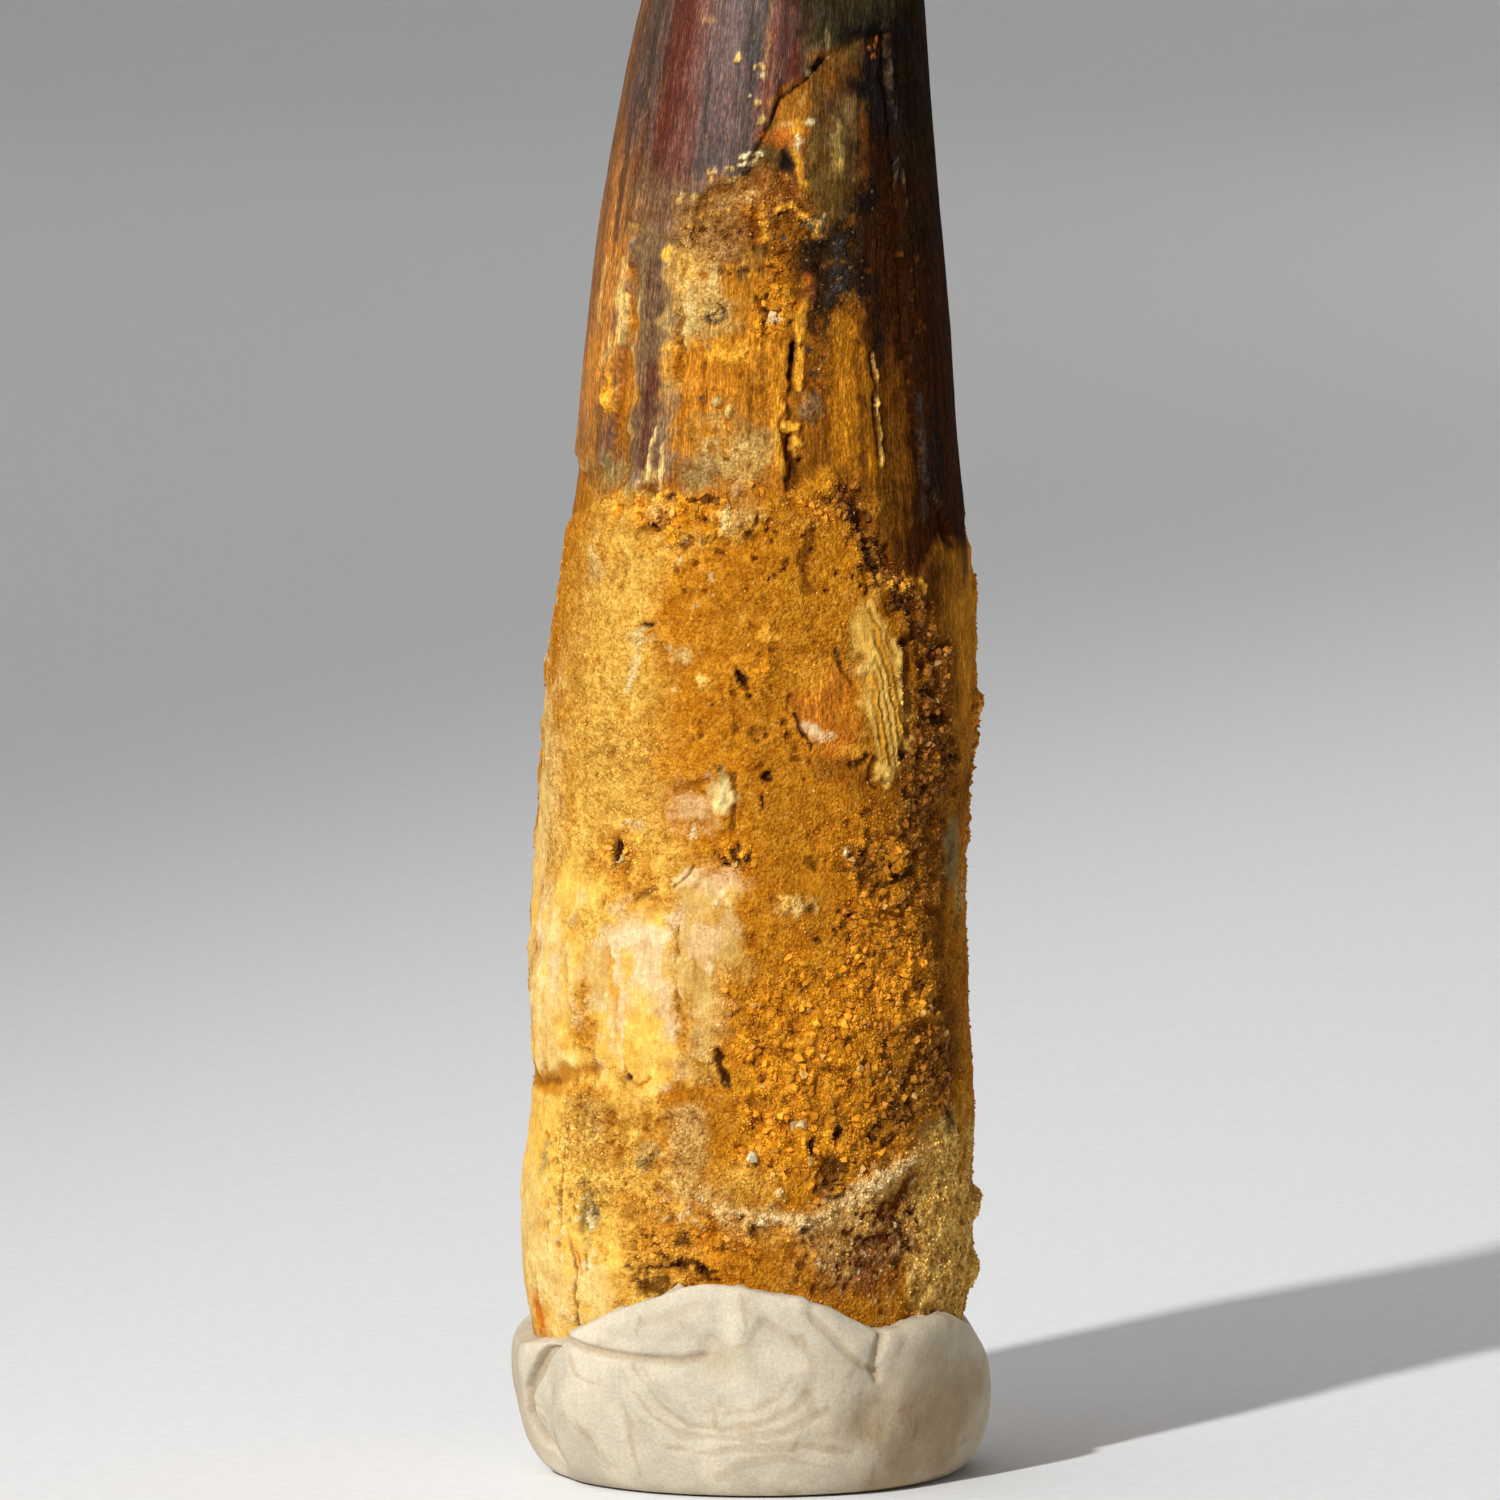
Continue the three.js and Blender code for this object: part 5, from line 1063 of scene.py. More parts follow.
PUTTY_MARKS: tuple[Mark, ...] = (
    # The fold across the front left, its rolled flap and the hollow at its end, with painted shadow under the
    # flap and painted shade in the creases and the hollow.
    Seam(((-53, 7.05), (-46, 6.7), (-38, 6.52), (-28, 6.42), (-18, 6.4), (-13, 6.6)), 0.2, PUTTY_SHADE, -0.2,
         0.45, 0.5, 0.05, wander=0.03),
    Seam(((-50, 7.05), (-40, 6.9), (-28, 6.78), (-18, 6.78), (-13.5, 6.95)), 0.34, None, 0.11, 1, 0.8, 0.05,
         wander=0.03),
    Seam(((-52, 6.3), (-42, 6.1), (-30, 6.0)), 0.5, None, 0.084, 1, 0.9, 0.05, wander=0.1),
    Patch((-9, 6.5), (0.9, 0.75), PUTTY_SHADE, -0.21, 0.38, 0.9, 0.1),
    Seam(((-10.6, 7.2), (-9, 8), (-9.6, 8.8)), 0.3, None, -0.11, 1, 0.9, 0.1),
    Seam(((-5, 9.1), (-3.6, 8.2), (-5, 7.3), (-4, 6.4)), 0.6, None, 0.11, 1, 0.9, 0.1),
    Patch((-1.6, 8.25), (0.5, 0.42), None, 0.084, 1, 0.6, 0.05),
    Seam(((-28, 8), (-22, 8.3), (-15, 8.9)), 0.3, PUTTY_SHADE, -0.056, 0.26, 0.8, 0.1),
    Seam(((3, 8.3), (7, 7.7), (12, 7.2)), 0.2, PUTTY_SHADE, -0.084, 0.3, 0.8, 0.1),
    Patch((11.5, 9.15), (0.42, 0.42), None, 0.17, 1, 0.7, 0.05),
    Seam(((14, 8.4), (18.5, 7.6), (22.5, 6.8), (27, 6.1), (31, 5.8)), 0.18, PUTTY_SHADE, -0.12, 0.38, 0.7,
         0.05, wander=0.03),
    Seam(((17, 8.6), (22, 7.7), (26, 6.9)), 0.4, None, 0.084, 1, 0.9, 0.05),
    Seam(((34.5, 8), (31.6, 7), (30, 6.2), (31.6, 5.5)), 0.22, PUTTY_SHADE, -0.17, 0.38, 0.6, 0.05,
         wander=0.03),
    Seam(((37, 7.4), (35, 6.6), (34.6, 6)), 0.4, None, 0.098, 1, 0.9, 0.05),
    Patch((52, 3.6), (2.8, 2.9), None, -0.52, 1, 0.9, 0.05),
    Patch((46, 7.2), (1.6, 0.7), None, 0.098, 1, 0.9, 0.05),
    Patch((18, 5.4), (2.2, 1.3), None, 0.098, 1, 0.9, 0.1),
    Patch((-50, 3.6), (2.4, 2.2), None, 0.11, 1, 0.9, 0.1),
    # The lobe that the left side folds over, with painted shade in the fold and over the lobe behind it.
    Seam(((-54, 6.9), (-59, 6.2), (-65, 5.2), (-70.5, 4.1), (-72, 3), (-70, 1.8), (-63, 0.9)), 0.26,
         PUTTY_SHADE, -0.42, 0.45, 0.5, 0.05, wander=0.03),
    Patch((-82, 4), (1.7, 3.4), PUTTY_SHADE, -0.084, 0.34, 0.5, 0.05),
    # Folds of the back, with painted shade in their creases.
    Seam(((148, 8), (140, 5.6), (118, 2.4)), 0.34, PUTTY_SHADE, -0.32, 0.3, 0.7, 0.05),
    Seam(((151, 8.2), (143, 5.4), (121, 2)), 0.5, None, 0.14, 1, 0.8, 0.05),
    Seam(((-152, 7), (-138, 4.4), (-120, 1.4)), 0.34, PUTTY_SHADE, -0.28, 0.3, 0.7, 0.05),
    Seam(((-170, 6.6), (178, 6), (164, 6.4)), 0.3, None, -0.21, 1, 0.7, 0.05),
    Patch((100, 3.6), (2.4, 2), None, -0.14, 1, 0.9, 0.1),
    Patch((175, 3.4), (3, 1.6), None, -0.17, 1, 0.9, 0.1),
    # Marbling left by the kneading.
    Seam(((-31, 6.1), (-27, 5.3), (-22.5, 4.2), (-17, 3.5), (-8, 3.3), (2, 3.6), (9, 4.2), (13, 5)), 0.12,
         PUTTY_SHADE, -0.035, 0.45, 0.45, 0.3),
    Seam(((-34, 5.9), (-31, 5), (-26, 3.8), (-19, 3), (-6, 2.9), (8, 3.2), (18, 4.2)), 0.12, PUTTY_SHADE,
         -0.028, 0.38, 0.45, 0.3),
    Seam(((-28, 6), (-24, 5), (-18, 4.3), (-10, 4), (0, 4.2), (6, 4.8), (9, 5.8)), 0.1, PUTTY_SHADE, -0.028,
         0.34, 0.45, 0.3),
    Seam(((-50, 6.1), (-48, 5.4), (-42, 5.1), (-36, 5)), 0.11, PUTTY_SHADE, -0.035, 0.38),
    Seam(((-35, 4.8), (-32.5, 3.6), (-33, 2.4), (-32, 1)), 0.13, PUTTY_SHADE, -0.042, 0.38),
    Seam(((-24, 2.4), (-12, 2.2), (-2, 2.5), (12, 2.5), (26, 2.1)), 0.14, PUTTY_SHADE, -0.035, 0.38, 0.45,
         0.4),
    Seam(((-10, 1), (-4, 1.7), (6, 2), (20, 1.5)), 0.14, PUTTY_SHADE, 0, 0.3, 0.45, 0.4),
    Seam(((-11, 7.6), (-6, 7), (-2, 7.3), (1, 8.4)), 0.1, PUTTY_SHADE, 0, 0.3, 0.45, 0.3),
    Seam(((11, 7.6), (14, 6.4), (13, 5), (15, 4)), 0.16, PUTTY_SHADE, 0, 0.3, 0.45, 0.4),
    Patch((39.6, 3.85), (0.34, 0.14), PUTTY_STAIN, 0, 0.64, 0.45, 0.7),
    Patch((44, 3.9), (0.2, 0.13), PUTTY_STAIN, 0, 0.52, 0.45, 0.7),
    Patch((38, 3.5), (1.7, 0.9), PUTTY_SHADE, 0, 0.45, 0.9, 0.6),
    # Painted shade over the right side of the lump, away from the light.
    Patch((54, 2.2), (4.2, 4.0), PUTTY_SHADE, 0, 0.85, 0.95),
)


TOOTH_MARKS = (*UPPER_CROWN, *LOWER_CROWN, *UPPER_ROOT, *MIDDLE_ROOT, *LOWER_ROOT, *REAR)


class Graph:
    """Adds nodes to a tree and wires them, so that a finish reads as a list of steps."""

    def __init__(self, tree: NodeTree) -> None:
        """Keep the tree to build in."""
        self.tree = tree

    def node(self, kind: str, inputs: dict[str | int, object] | None = None, **settings: object) -> Node:
        """Add a node.

        Args:
            kind: The node's type name.
            inputs: Values, or sockets to link, by the input's name or number.
            **settings: The node's own properties.

        Returns:
            The new node.
        """
        made = self.tree.nodes.new(kind)
        for name, value in settings.items():
            setattr(made, name, value)
        return self.feed(made, inputs or {})

    def feed(self, made: Node, inputs: dict[str | int, object]) -> Node:
        """Give a node its values, or link the sockets they come from, by the input's name or number.

        Args:
            made: The node to feed.
            inputs: Values or sockets by the input's name or number.

        Returns:
            The same node.
        """
        for key, value in inputs.items():
            if isinstance(value, NodeSocket):
                self.tree.links.new(value, made.inputs[key])
            else:
                made.inputs[key].default_value = value
        return made

    def math(self, operation: str, *values: float | NodeSocket) -> NodeSocket:
        """Combine numbers with one operation."""
        return self.node("ShaderNodeMath", dict(enumerate(values)), operation=operation).outputs[0]

    def scale(self, vector: NodeSocket, factor: float | NodeSocket) -> NodeSocket:
        """Multiply a vector or colour by a number."""
        made = self.node("ShaderNodeVectorMath", {0: vector, "Scale": factor}, operation="SCALE")
        return made.outputs[0]

    def tinted(self, colour: NodeSocket, by: Colour) -> NodeSocket:
        """Multiply a colour channel by channel."""
        return self.node("ShaderNodeVectorMath", {0: colour, 1: by}, operation="MULTIPLY").outputs[0]

    def mix(self, share: float | NodeSocket, a: object, b: object) -> NodeSocket:
        """Blend from colour a to colour b."""
        made = self.node("ShaderNodeMix", {0: share, 6: a, 7: b}, data_type="RGBA", clamp_factor=True)
        return made.outputs[2]

    def vary(self, colour: NodeSocket, share: NodeSocket, depth: float) -> NodeSocket:
        """Darken a colour towards brown where share is 0, and lighten it towards cream where share is 1."""
        dark = self.tinted(colour, (1 - depth, 1 - 1.5 * depth, 1 - 2.4 * depth))
        return self.mix(share, dark, self.tinted(colour, (1 + depth, 1 + 1.3 * depth, 1 + 2 * depth)))

    def ramp(self, value: NodeSocket, low: float, high: float, to: Place = (0.0, 1.0)) -> NodeSocket:
        """Map low to high onto the two ends of to, smoothly and held beyond them."""
        inputs = {0: value, 1: low, 2: high, 3: to[0], 4: to[1]}
        return self.node("ShaderNodeMapRange", inputs, interpolation_type="SMOOTHSTEP").outputs[0]

    def noise(
        self, position: NodeSocket, per_mm: float | NodeSocket, detail: float = 3.0, rough: float = 0.55
    ) -> NodeSocket:
        """Noise in 0 to 1 with so many bumps to a millimetre."""
        inputs = {"Vector": position, "Scale": per_mm, "Detail": detail, "Roughness": rough}
        return self.node("ShaderNodeTexNoise", inputs, noise_dimensions="3D").outputs["Fac"]

    def attribute(self, name: str, output: str = "Fac") -> NodeSocket:
        """Read a value stored on the mesh."""
        return self.node("ShaderNodeAttribute", attribute_name=name).outputs[output]

    def place(self) -> NodeSocket:
        """The place on the object, in millimetres."""
        return self.scale(self.node("ShaderNodeTexCoord").outputs["Object"], 1 / MM)

    def effect(self, group: NodeTree, **inputs: object) -> Node:
        """Place a shared effect with its own values."""
        made = self.node("ShaderNodeGroup", node_tree=group)
        return self.feed(made, {name.capitalize(): value for name, value in inputs.items()})


@dataclass(frozen=True)
class Effects:
    """The shader effects that several finishes share, as node groups."""

    sand: NodeTree
    fibre: NodeTree
    mottle: NodeTree

    @classmethod
    def build(cls) -> "Effects":
        """Make the three groups."""
        return cls(cls.sand_group(), cls.fibre_group(), cls.mottle_group())

    @staticmethod
    def group(name: str, inputs: dict[str, str], outputs: list[str]) -> tuple[Graph, list[NodeSocket], Node]:
        """Start a group.

        Args:
            name: The group's name.
            inputs: Each input's name and whether it is a Vector or a Float.
            outputs: The names of its outputs, all numbers.

        Returns:
            The graph to build in, its inputs and its output node.
        """
        tree = bpy.data.node_groups.new(name, "ShaderNodeTree")
        for title, kind in inputs.items():
            tree.interface.new_socket(title, in_out="INPUT", socket_type=f"NodeSocket{kind}")
        for title in outputs:
            tree.interface.new_socket(title, in_out="OUTPUT", socket_type="NodeSocketFloat")
        graph = Graph(tree)
        given = graph.node("NodeGroupInput").outputs[: len(inputs)]
        return graph, given, graph.node("NodeGroupOutput")

    @classmethod
    def sand_group(cls) -> NodeTree:
        """Packed grains: each grain's own tone, its domed height, and painted shade in the gaps between
        grains.

        Returns:
            The group.
        """
        g, (position, size), out = cls.group(
            "packed_grains", {"Position": "Vector", "Size": "Float"}, ["Tone", "Height", "GapShade"]
        )
        warp = g.node("ShaderNodeTexNoise", {"Vector": position, "Scale": 5.0, "Detail": 2.0})
        shift = g.scale(warp.outputs["Color"], g.math("MULTIPLY", size, 0.9))
        moved = g.node("ShaderNodeVectorMath", {0: position, 1: shift}, operation="ADD").outputs[0]
        per_mm = g.math("DIVIDE", 1.0, size)
        cells = g.node("ShaderNodeTexVoronoi", {"Vector": moved, "Scale": per_mm, "Randomness": 1.0})
        tone = g.node("ShaderNodeSeparateColor", {0: cells.outputs["Color"]}).outputs[0]
        dome = g.math("SUBTRACT", 1.0, g.math("POWER", cells.outputs["Distance"], 2.0))
        gap_shade = g.ramp(cells.outputs["Distance"], 0.45, 0.85)
        g.feed(out, {"Tone": tone, "Height": dome, "GapShade": gap_shade})
        return g.tree

    @classmethod
    def fibre_group(cls) -> NodeTree:
        """Lengthwise fibres: broad soft streaks, fine striations, and rare thin scratches, partly painted
        glints.

        Returns:
            The group.
        """
        g, (position, width, length), out = cls.group(
            "lengthwise_fibres",
            {"Position": "Vector", "Width": "Float", "Length": "Float"},
            ["Streak", "Line", "ScratchGlint"],
        )
        across = g.math("DIVIDE", 1.0, width)
        along = g.math("DIVIDE", 1.0, length)
        stretch = g.node("ShaderNodeCombineXYZ", {0: across, 1: across, 2: along}).outputs[0]
        sway = g.node("ShaderNodeTexNoise", {"Vector": position, "Scale": 0.5, "Detail": 2.0})
        strayed = g.node(
            "ShaderNodeVectorMath", {0: position, 1: g.scale(sway.outputs["Color"], 0.7)},
            operation="ADD",
        )
        drawn = g.node("ShaderNodeVectorMath", {0: strayed.outputs[0], 1: stretch}, operation="MULTIPLY")
        drawn = drawn.outputs[0]
        streak = g.noise(drawn, 0.3, 3.0)
        fade = g.ramp(g.noise(position, 0.8, 2.0), 0.35, 0.65, (0.25, 1.0))
        line = g.math("MULTIPLY_ADD", g.math("SUBTRACT", g.noise(drawn, 1.0, 2.0, 0.6), 0.5), fade, 0.5)
        thin = g.noise(drawn, 1.7, 1.0)
        scratch_glint = g.math("MULTIPLY", g.ramp(thin, 0.63, 0.7), g.ramp(streak, 0.42, 0.6))
        g.feed(out, {"Streak": streak, "Line": line, "ScratchGlint": scratch_glint})
        return g.tree

    @classmethod
    def mottle_group(cls) -> NodeTree:
        """Cloudy variation with a chosen size, and fine specks.

        Returns:
            The group.
        """
        g, (position, size), out = cls.group(
            "mottle", {"Position": "Vector", "Size": "Float"}, ["Cloud", "Speck"]
        )
        per_mm = g.math("DIVIDE", 1.0, size)
        clouds = g.noise(position, per_mm, 4.0)
        specks = g.noise(position, g.math("MULTIPLY", per_mm, 9.0), 1.0)
        g.feed(out, {"Cloud": g.ramp(clouds, 0.3, 0.7), "Speck": g.ramp(specks, 0.66, 0.74)})
        return g.tree


def new_material(name: str, specular: float) -> tuple[Material, Graph, Node]:
    """Start a material.

    Args:
        name: The material's name.
        specular: How strongly it mirrors light straight on.

    Returns:
        The material, the graph to build in and its shader.
    """
    material = bpy.data.materials.new(name)
    material.use_nodes = True
    shader = material.node_tree.nodes["Principled BSDF"]
    shader.inputs["Specular IOR Level"].default_value = specular
    return material, Graph(material.node_tree), shader


@dataclass(frozen=True)
class FossilFinish:
    """Enamel, bone and cemented sand in one material, told apart by what is stored on the mesh."""

    effects: Effects
    name: str
    specular: float
    fine_grain: float = 0.14
    coarse_grain: float = 0.3
    fibre_width: float = 0.1
    fibre_length: float = 1.9
    bump_depth: float = 0.135 * MM

    def build(self) -> Material:
        """Make the material.

        Returns:
            The material.
        """
        material, g, shader = new_material(self.name, self.specular)
        place, straight = g.place(), g.attribute("straight", "Vector")
        laid = {name: g.attribute(name) for name in LAYERS}
        fine = g.effect(self.effects.sand, position=place, size=self.fine_grain)
        coarse = g.effect(self.effects.sand, position=place, size=self.coarse_grain)
        fibres = g.effect(
            self.effects.fibre, position=straight, width=self.fibre_width, length=self.fibre_length
        )
        mottle = g.effect(self.effects.mottle, position=place, size=1.2)
        crumb = g.noise(place, 2.6, 4.0, 0.72)

        colour = g.attribute("tint", "Color")
        colour = g.vary(colour, mottle.outputs["Cloud"], 0.09)
        # The crumb noise also raises the bump, so this paints shade into the dips between crumbs and light
        # onto their tops.
        crumb_shaded = g.vary(colour, g.ramp(crumb, 0.3, 0.7), 0.25)
        colour = g.mix(g.math("MULTIPLY", laid["grain"], 1.6), colour, crumb_shaded)
        colour = self.sandy(g, colour, laid, fine, coarse)
        colour = self.fibrous(g, colour, laid, fibres)

        shine = g.math("SUBTRACT", laid["gloss"], g.math("MULTIPLY", fibres.outputs["Line"], 0.35))
        rise = g.math("MULTIPLY", crumb, laid["grain"])
        height = g.math("ADD", self.height(g, laid, fine, coarse, fibres), rise)
        bump = g.node("ShaderNodeBump", {"Height": height, "Strength": 1.0, "Distance": self.bump_depth})
        roughness = g.ramp(shine, 0.0, 1.0, (0.92, 0.38))
        g.feed(shader, {"Base Color": colour, "Roughness": roughness, "Normal": bump.outputs[0]})
        return material

    @staticmethod
    def sandy(g: Graph, colour: NodeSocket, laid: Laid, fine: Node, coarse: Node) -> NodeSocket:
        """Vary the colour from grain to grain and paint shade into the gaps between them, where the surface
        is sandy.

        Args:
            g: The graph to build in.
            colour: The colour so far.
            laid: What is stored on the mesh, by layer.
            fine: The fine grains.
            coarse: The coarse grains.

        Returns:
            The new colour.
        """
        grain, size = laid["grain"], g.math("MULTIPLY", laid["loose"], 0.55)
        tone = g.mix(size, fine.outputs["Tone"], coarse.outputs["Tone"])
        gap_shade = g.mix(size, fine.outputs["GapShade"], coarse.outputs["GapShade"])
        bright = g.vary(colour, tone, 0.24)
        light = g.math("MULTIPLY", g.ramp(tone, 0.88, 0.98, (0.0, 0.35)), g.ramp(grain, 0.35, 0.65))
        pale = g.mix(light, bright, (*Tint.PALE_RIM.linear, 1.0))
        # Painted shade in the gaps between grains, broken up in patches.
        gap_shaded = g.tinted(pale, (0.5, 0.32, 0.16))
        broken = g.ramp(g.noise(g.place(), 1.7, 3.0, 0.7), 0.42, 0.62, (0.1, 1.0))
        packed = g.mix(g.math("MULTIPLY", gap_shade, broken), pale, gap_shaded)
        return g.mix(grain, colour, packed)

    @staticmethod
    def fibrous(g: Graph, colour: NodeSocket, laid: Laid, fibres: Node) -> NodeSocket:
        """Draw lengthwise streaks and striations, and pale scratches that are partly painted glints, where
        the surface is fibrous.

        Args:
            g: The graph to build in.
            colour: The colour so far.
            laid: What is stored on the mesh, by layer.
            fibres: The fibres.

        Returns:
            The new colour.
        """
        streaked = g.scale(colour, g.ramp(fibres.outputs["Streak"], 0.3, 0.7, (0.68, 1.3)))
        lined = g.scale(streaked, g.ramp(fibres.outputs["Line"], 0.3, 0.7, (0.66, 1.36)))
        for grid in ((9.0, 9.0, 1.5), (7.0, 7.0, 4.0)):
            nap = g.noise(g.tinted(g.attribute("straight", "Vector"), grid), 1.0, 2.0, 0.75)
            lined = g.scale(lined, g.ramp(nap, 0.34, 0.66, (0.55, 1.5)))
        drawn = g.mix(laid["fibre"], colour, lined)
        # Pale scratches, partly real and partly painted glints on the glossy striae.
        scratch_glint = g.math("MULTIPLY", fibres.outputs["ScratchGlint"], g.math("MULTIPLY", laid["gloss"], 0.4))
        return g.mix(scratch_glint, drawn, (*Tint.CREAM.linear, 1.0))

    @staticmethod
    def height(g: Graph, laid: Laid, fine: Node, coarse: Node, fibres: Node) -> NodeSocket:
        """The fine relief of grains and fibres, 0 to about 1.

        Args:
            g: The graph to build in.
            laid: What is stored on the mesh, by layer.
            fine: The fine grains.
            coarse: The coarse grains.
            fibres: The fibres.

        Returns:
            The height.
        """
        share = g.math("MULTIPLY", laid["loose"], 0.6)
        grains = g.mix(share, fine.outputs["Height"], coarse.outputs["Height"])
        sandy = g.math("MULTIPLY", grains, laid["grain"])
        ridges = g.math("MULTIPLY", fibres.outputs["Line"], g.math("MULTIPLY", laid["fibre"], 0.45))
        return g.math("ADD", sandy, ridges)


@dataclass(frozen=True)
class GrainFinish:
    """A loose grain: the colour of the crust under it, lighter or darker from grain to grain."""

    effects: Effects

    def build(self) -> Material:
        """Make the material.

        Returns:
            The material.
        """
        material, g, shader = new_material("sand_grain", 0.15)
        tone = g.attribute("grain_tone")
        mottle = g.effect(self.effects.mottle, position=g.place(), size=0.3)
        colour = g.scale(g.attribute("tint", "Color"), g.ramp(tone, 0.0, 0.9, (0.65, 1.5)))
        colour = g.mix(g.ramp(tone, 0.93, 0.99, (0.0, 0.6)), colour, (*Tint.PALE_RIM.linear, 1.0))
        colour = g.scale(colour, g.ramp(mottle.outputs["Cloud"], 0.0, 1.0, (0.85, 1.15)))
        g.feed(shader, {"Base Color": colour, "Roughness": g.ramp(tone, 0.0, 1.0, (0.75, 0.45))})
        return material


@dataclass(frozen=True)
class PuttyFinish:
    """Kneaded putty: matt, marbled by the folds that closed in it, with fine dark specks."""

    effects: Effects
    bump_depth: float = 0.04 * MM

    def build(self) -> Material:
        """Make the material.

        Returns:
            The material.
        """
        material, g, shader = new_material("kneaded_putty", 0.2)
        place = g.place()
        flow = g.node("ShaderNodeTexNoise", {"Vector": place, "Scale": 0.16, "Detail": 2.0}).outputs["Color"]
        dust = g.noise(place, 7.0, 2.0, 0.8)
        bent = g.node("ShaderNodeVectorMath", {0: place, 1: g.scale(flow, 7.0)}, operation="ADD").outputs[0]
        veins = g.effect(self.effects.fibre, position=bent, width=1.1, length=4.0)
        mottle = g.effect(self.effects.mottle, position=place, size=1.1)
        specks = g.effect(self.effects.mottle, position=place, size=0.8)

        colour = g.attribute("tint", "Color")
        colour = g.scale(colour, g.ramp(veins.outputs["Streak"], 0.35, 0.65, (0.87, 1.07)))
        vein = g.ramp(veins.outputs["Line"], 0.56, 0.68, (0.0, 0.6))
        colour = g.mix(vein, colour, g.tinted(colour, (0.74, 0.66, 0.52)))
        colour = g.scale(colour, g.ramp(mottle.outputs["Cloud"], 0.0, 1.0, (0.95, 1.04)))
        colour = g.mix(g.ramp(dust, 0.34, 0.66), g.tinted(colour, (0.94, 0.9, 0.84)), g.scale(colour, 1.05))
        speck = g.math("MULTIPLY", specks.outputs["Speck"], 0.45)
        colour = g.mix(speck, colour, (*Tint.PUTTY_SHADE.linear, 1.0))
        roughness = g.ramp(mottle.outputs["Cloud"], 0.0, 1.0, (0.62, 0.8))
        rough = g.math("ADD", g.noise(place, 4.0, 4.0), g.math("MULTIPLY", veins.outputs["Line"], 0.8))
        bump = g.node("ShaderNodeBump", {"Height": rough, "Strength": 0.8, "Distance": self.bump_depth})
        g.feed(shader, {"Base Color": colour, "Roughness": roughness, "Normal": bump.outputs[0]})
        return material


def read_each(members: bpy.types.bpy_prop_collection, name: str, width: int = 3) -> np.ndarray:
    """Read one property of every member, as rows of width numbers.

    Args:
        members: A collection of the mesh, such as its vertices.
        name: The property's name.
        width: How many numbers each member has.

    Returns:
        One row for each member.
    """
    values = np.empty(len(members) * width)
    members.foreach_get(name, values)
    return values.reshape(-1, width)


def mesh_arrays(node: Object) -> tuple[np.ndarray, list[list[int]]]:
    """Read a mesh.

    Args:
        node: The object to read.

    Returns:
        Its vertices in millimetres, and its faces.
    """
    return read_each(node.data.vertices, "co") / MM, [list(p.vertices) for p in node.data.polygons]


def new_object(name: str, mesh: bpy.types.Mesh, *materials: Material) -> Object:
    """Put a mesh in the scene with its materials.

    Args:
        name: The object's name.
        mesh: Its mesh.
        *materials: The materials, in slot order.

    Returns:
        The object.
    """
    made = bpy.data.objects.new(name, mesh)
    bpy.context.scene.collection.objects.link(made)
    for material in materials:
        mesh.materials.append(material)
    return made


def store(mesh: bpy.types.Mesh, name: str, values: np.ndarray) -> None:
    """Store a number, vector or colour for each vertex.

    Args:
        mesh: The mesh to store on.
        name: The attribute's name. A name of tint is stored as a colour.
        values: One number or three for each vertex.
    """
    if values.ndim == 1:
        layer = mesh.attributes.new(name, "FLOAT", "POINT")
        layer.data.foreach_set("value", values.astype(np.float32))
    elif name == "tint":
        layer = mesh.attributes.new(name, "FLOAT_COLOR", "POINT")
        full = np.column_stack([values, np.ones(len(values))]).astype(np.float32)
        layer.data.foreach_set("color", full.ravel())
    else:
        layer = mesh.attributes.new(name, "FLOAT_VECTOR", "POINT")
        layer.data.foreach_set("vector", values.astype(np.float32).ravel())


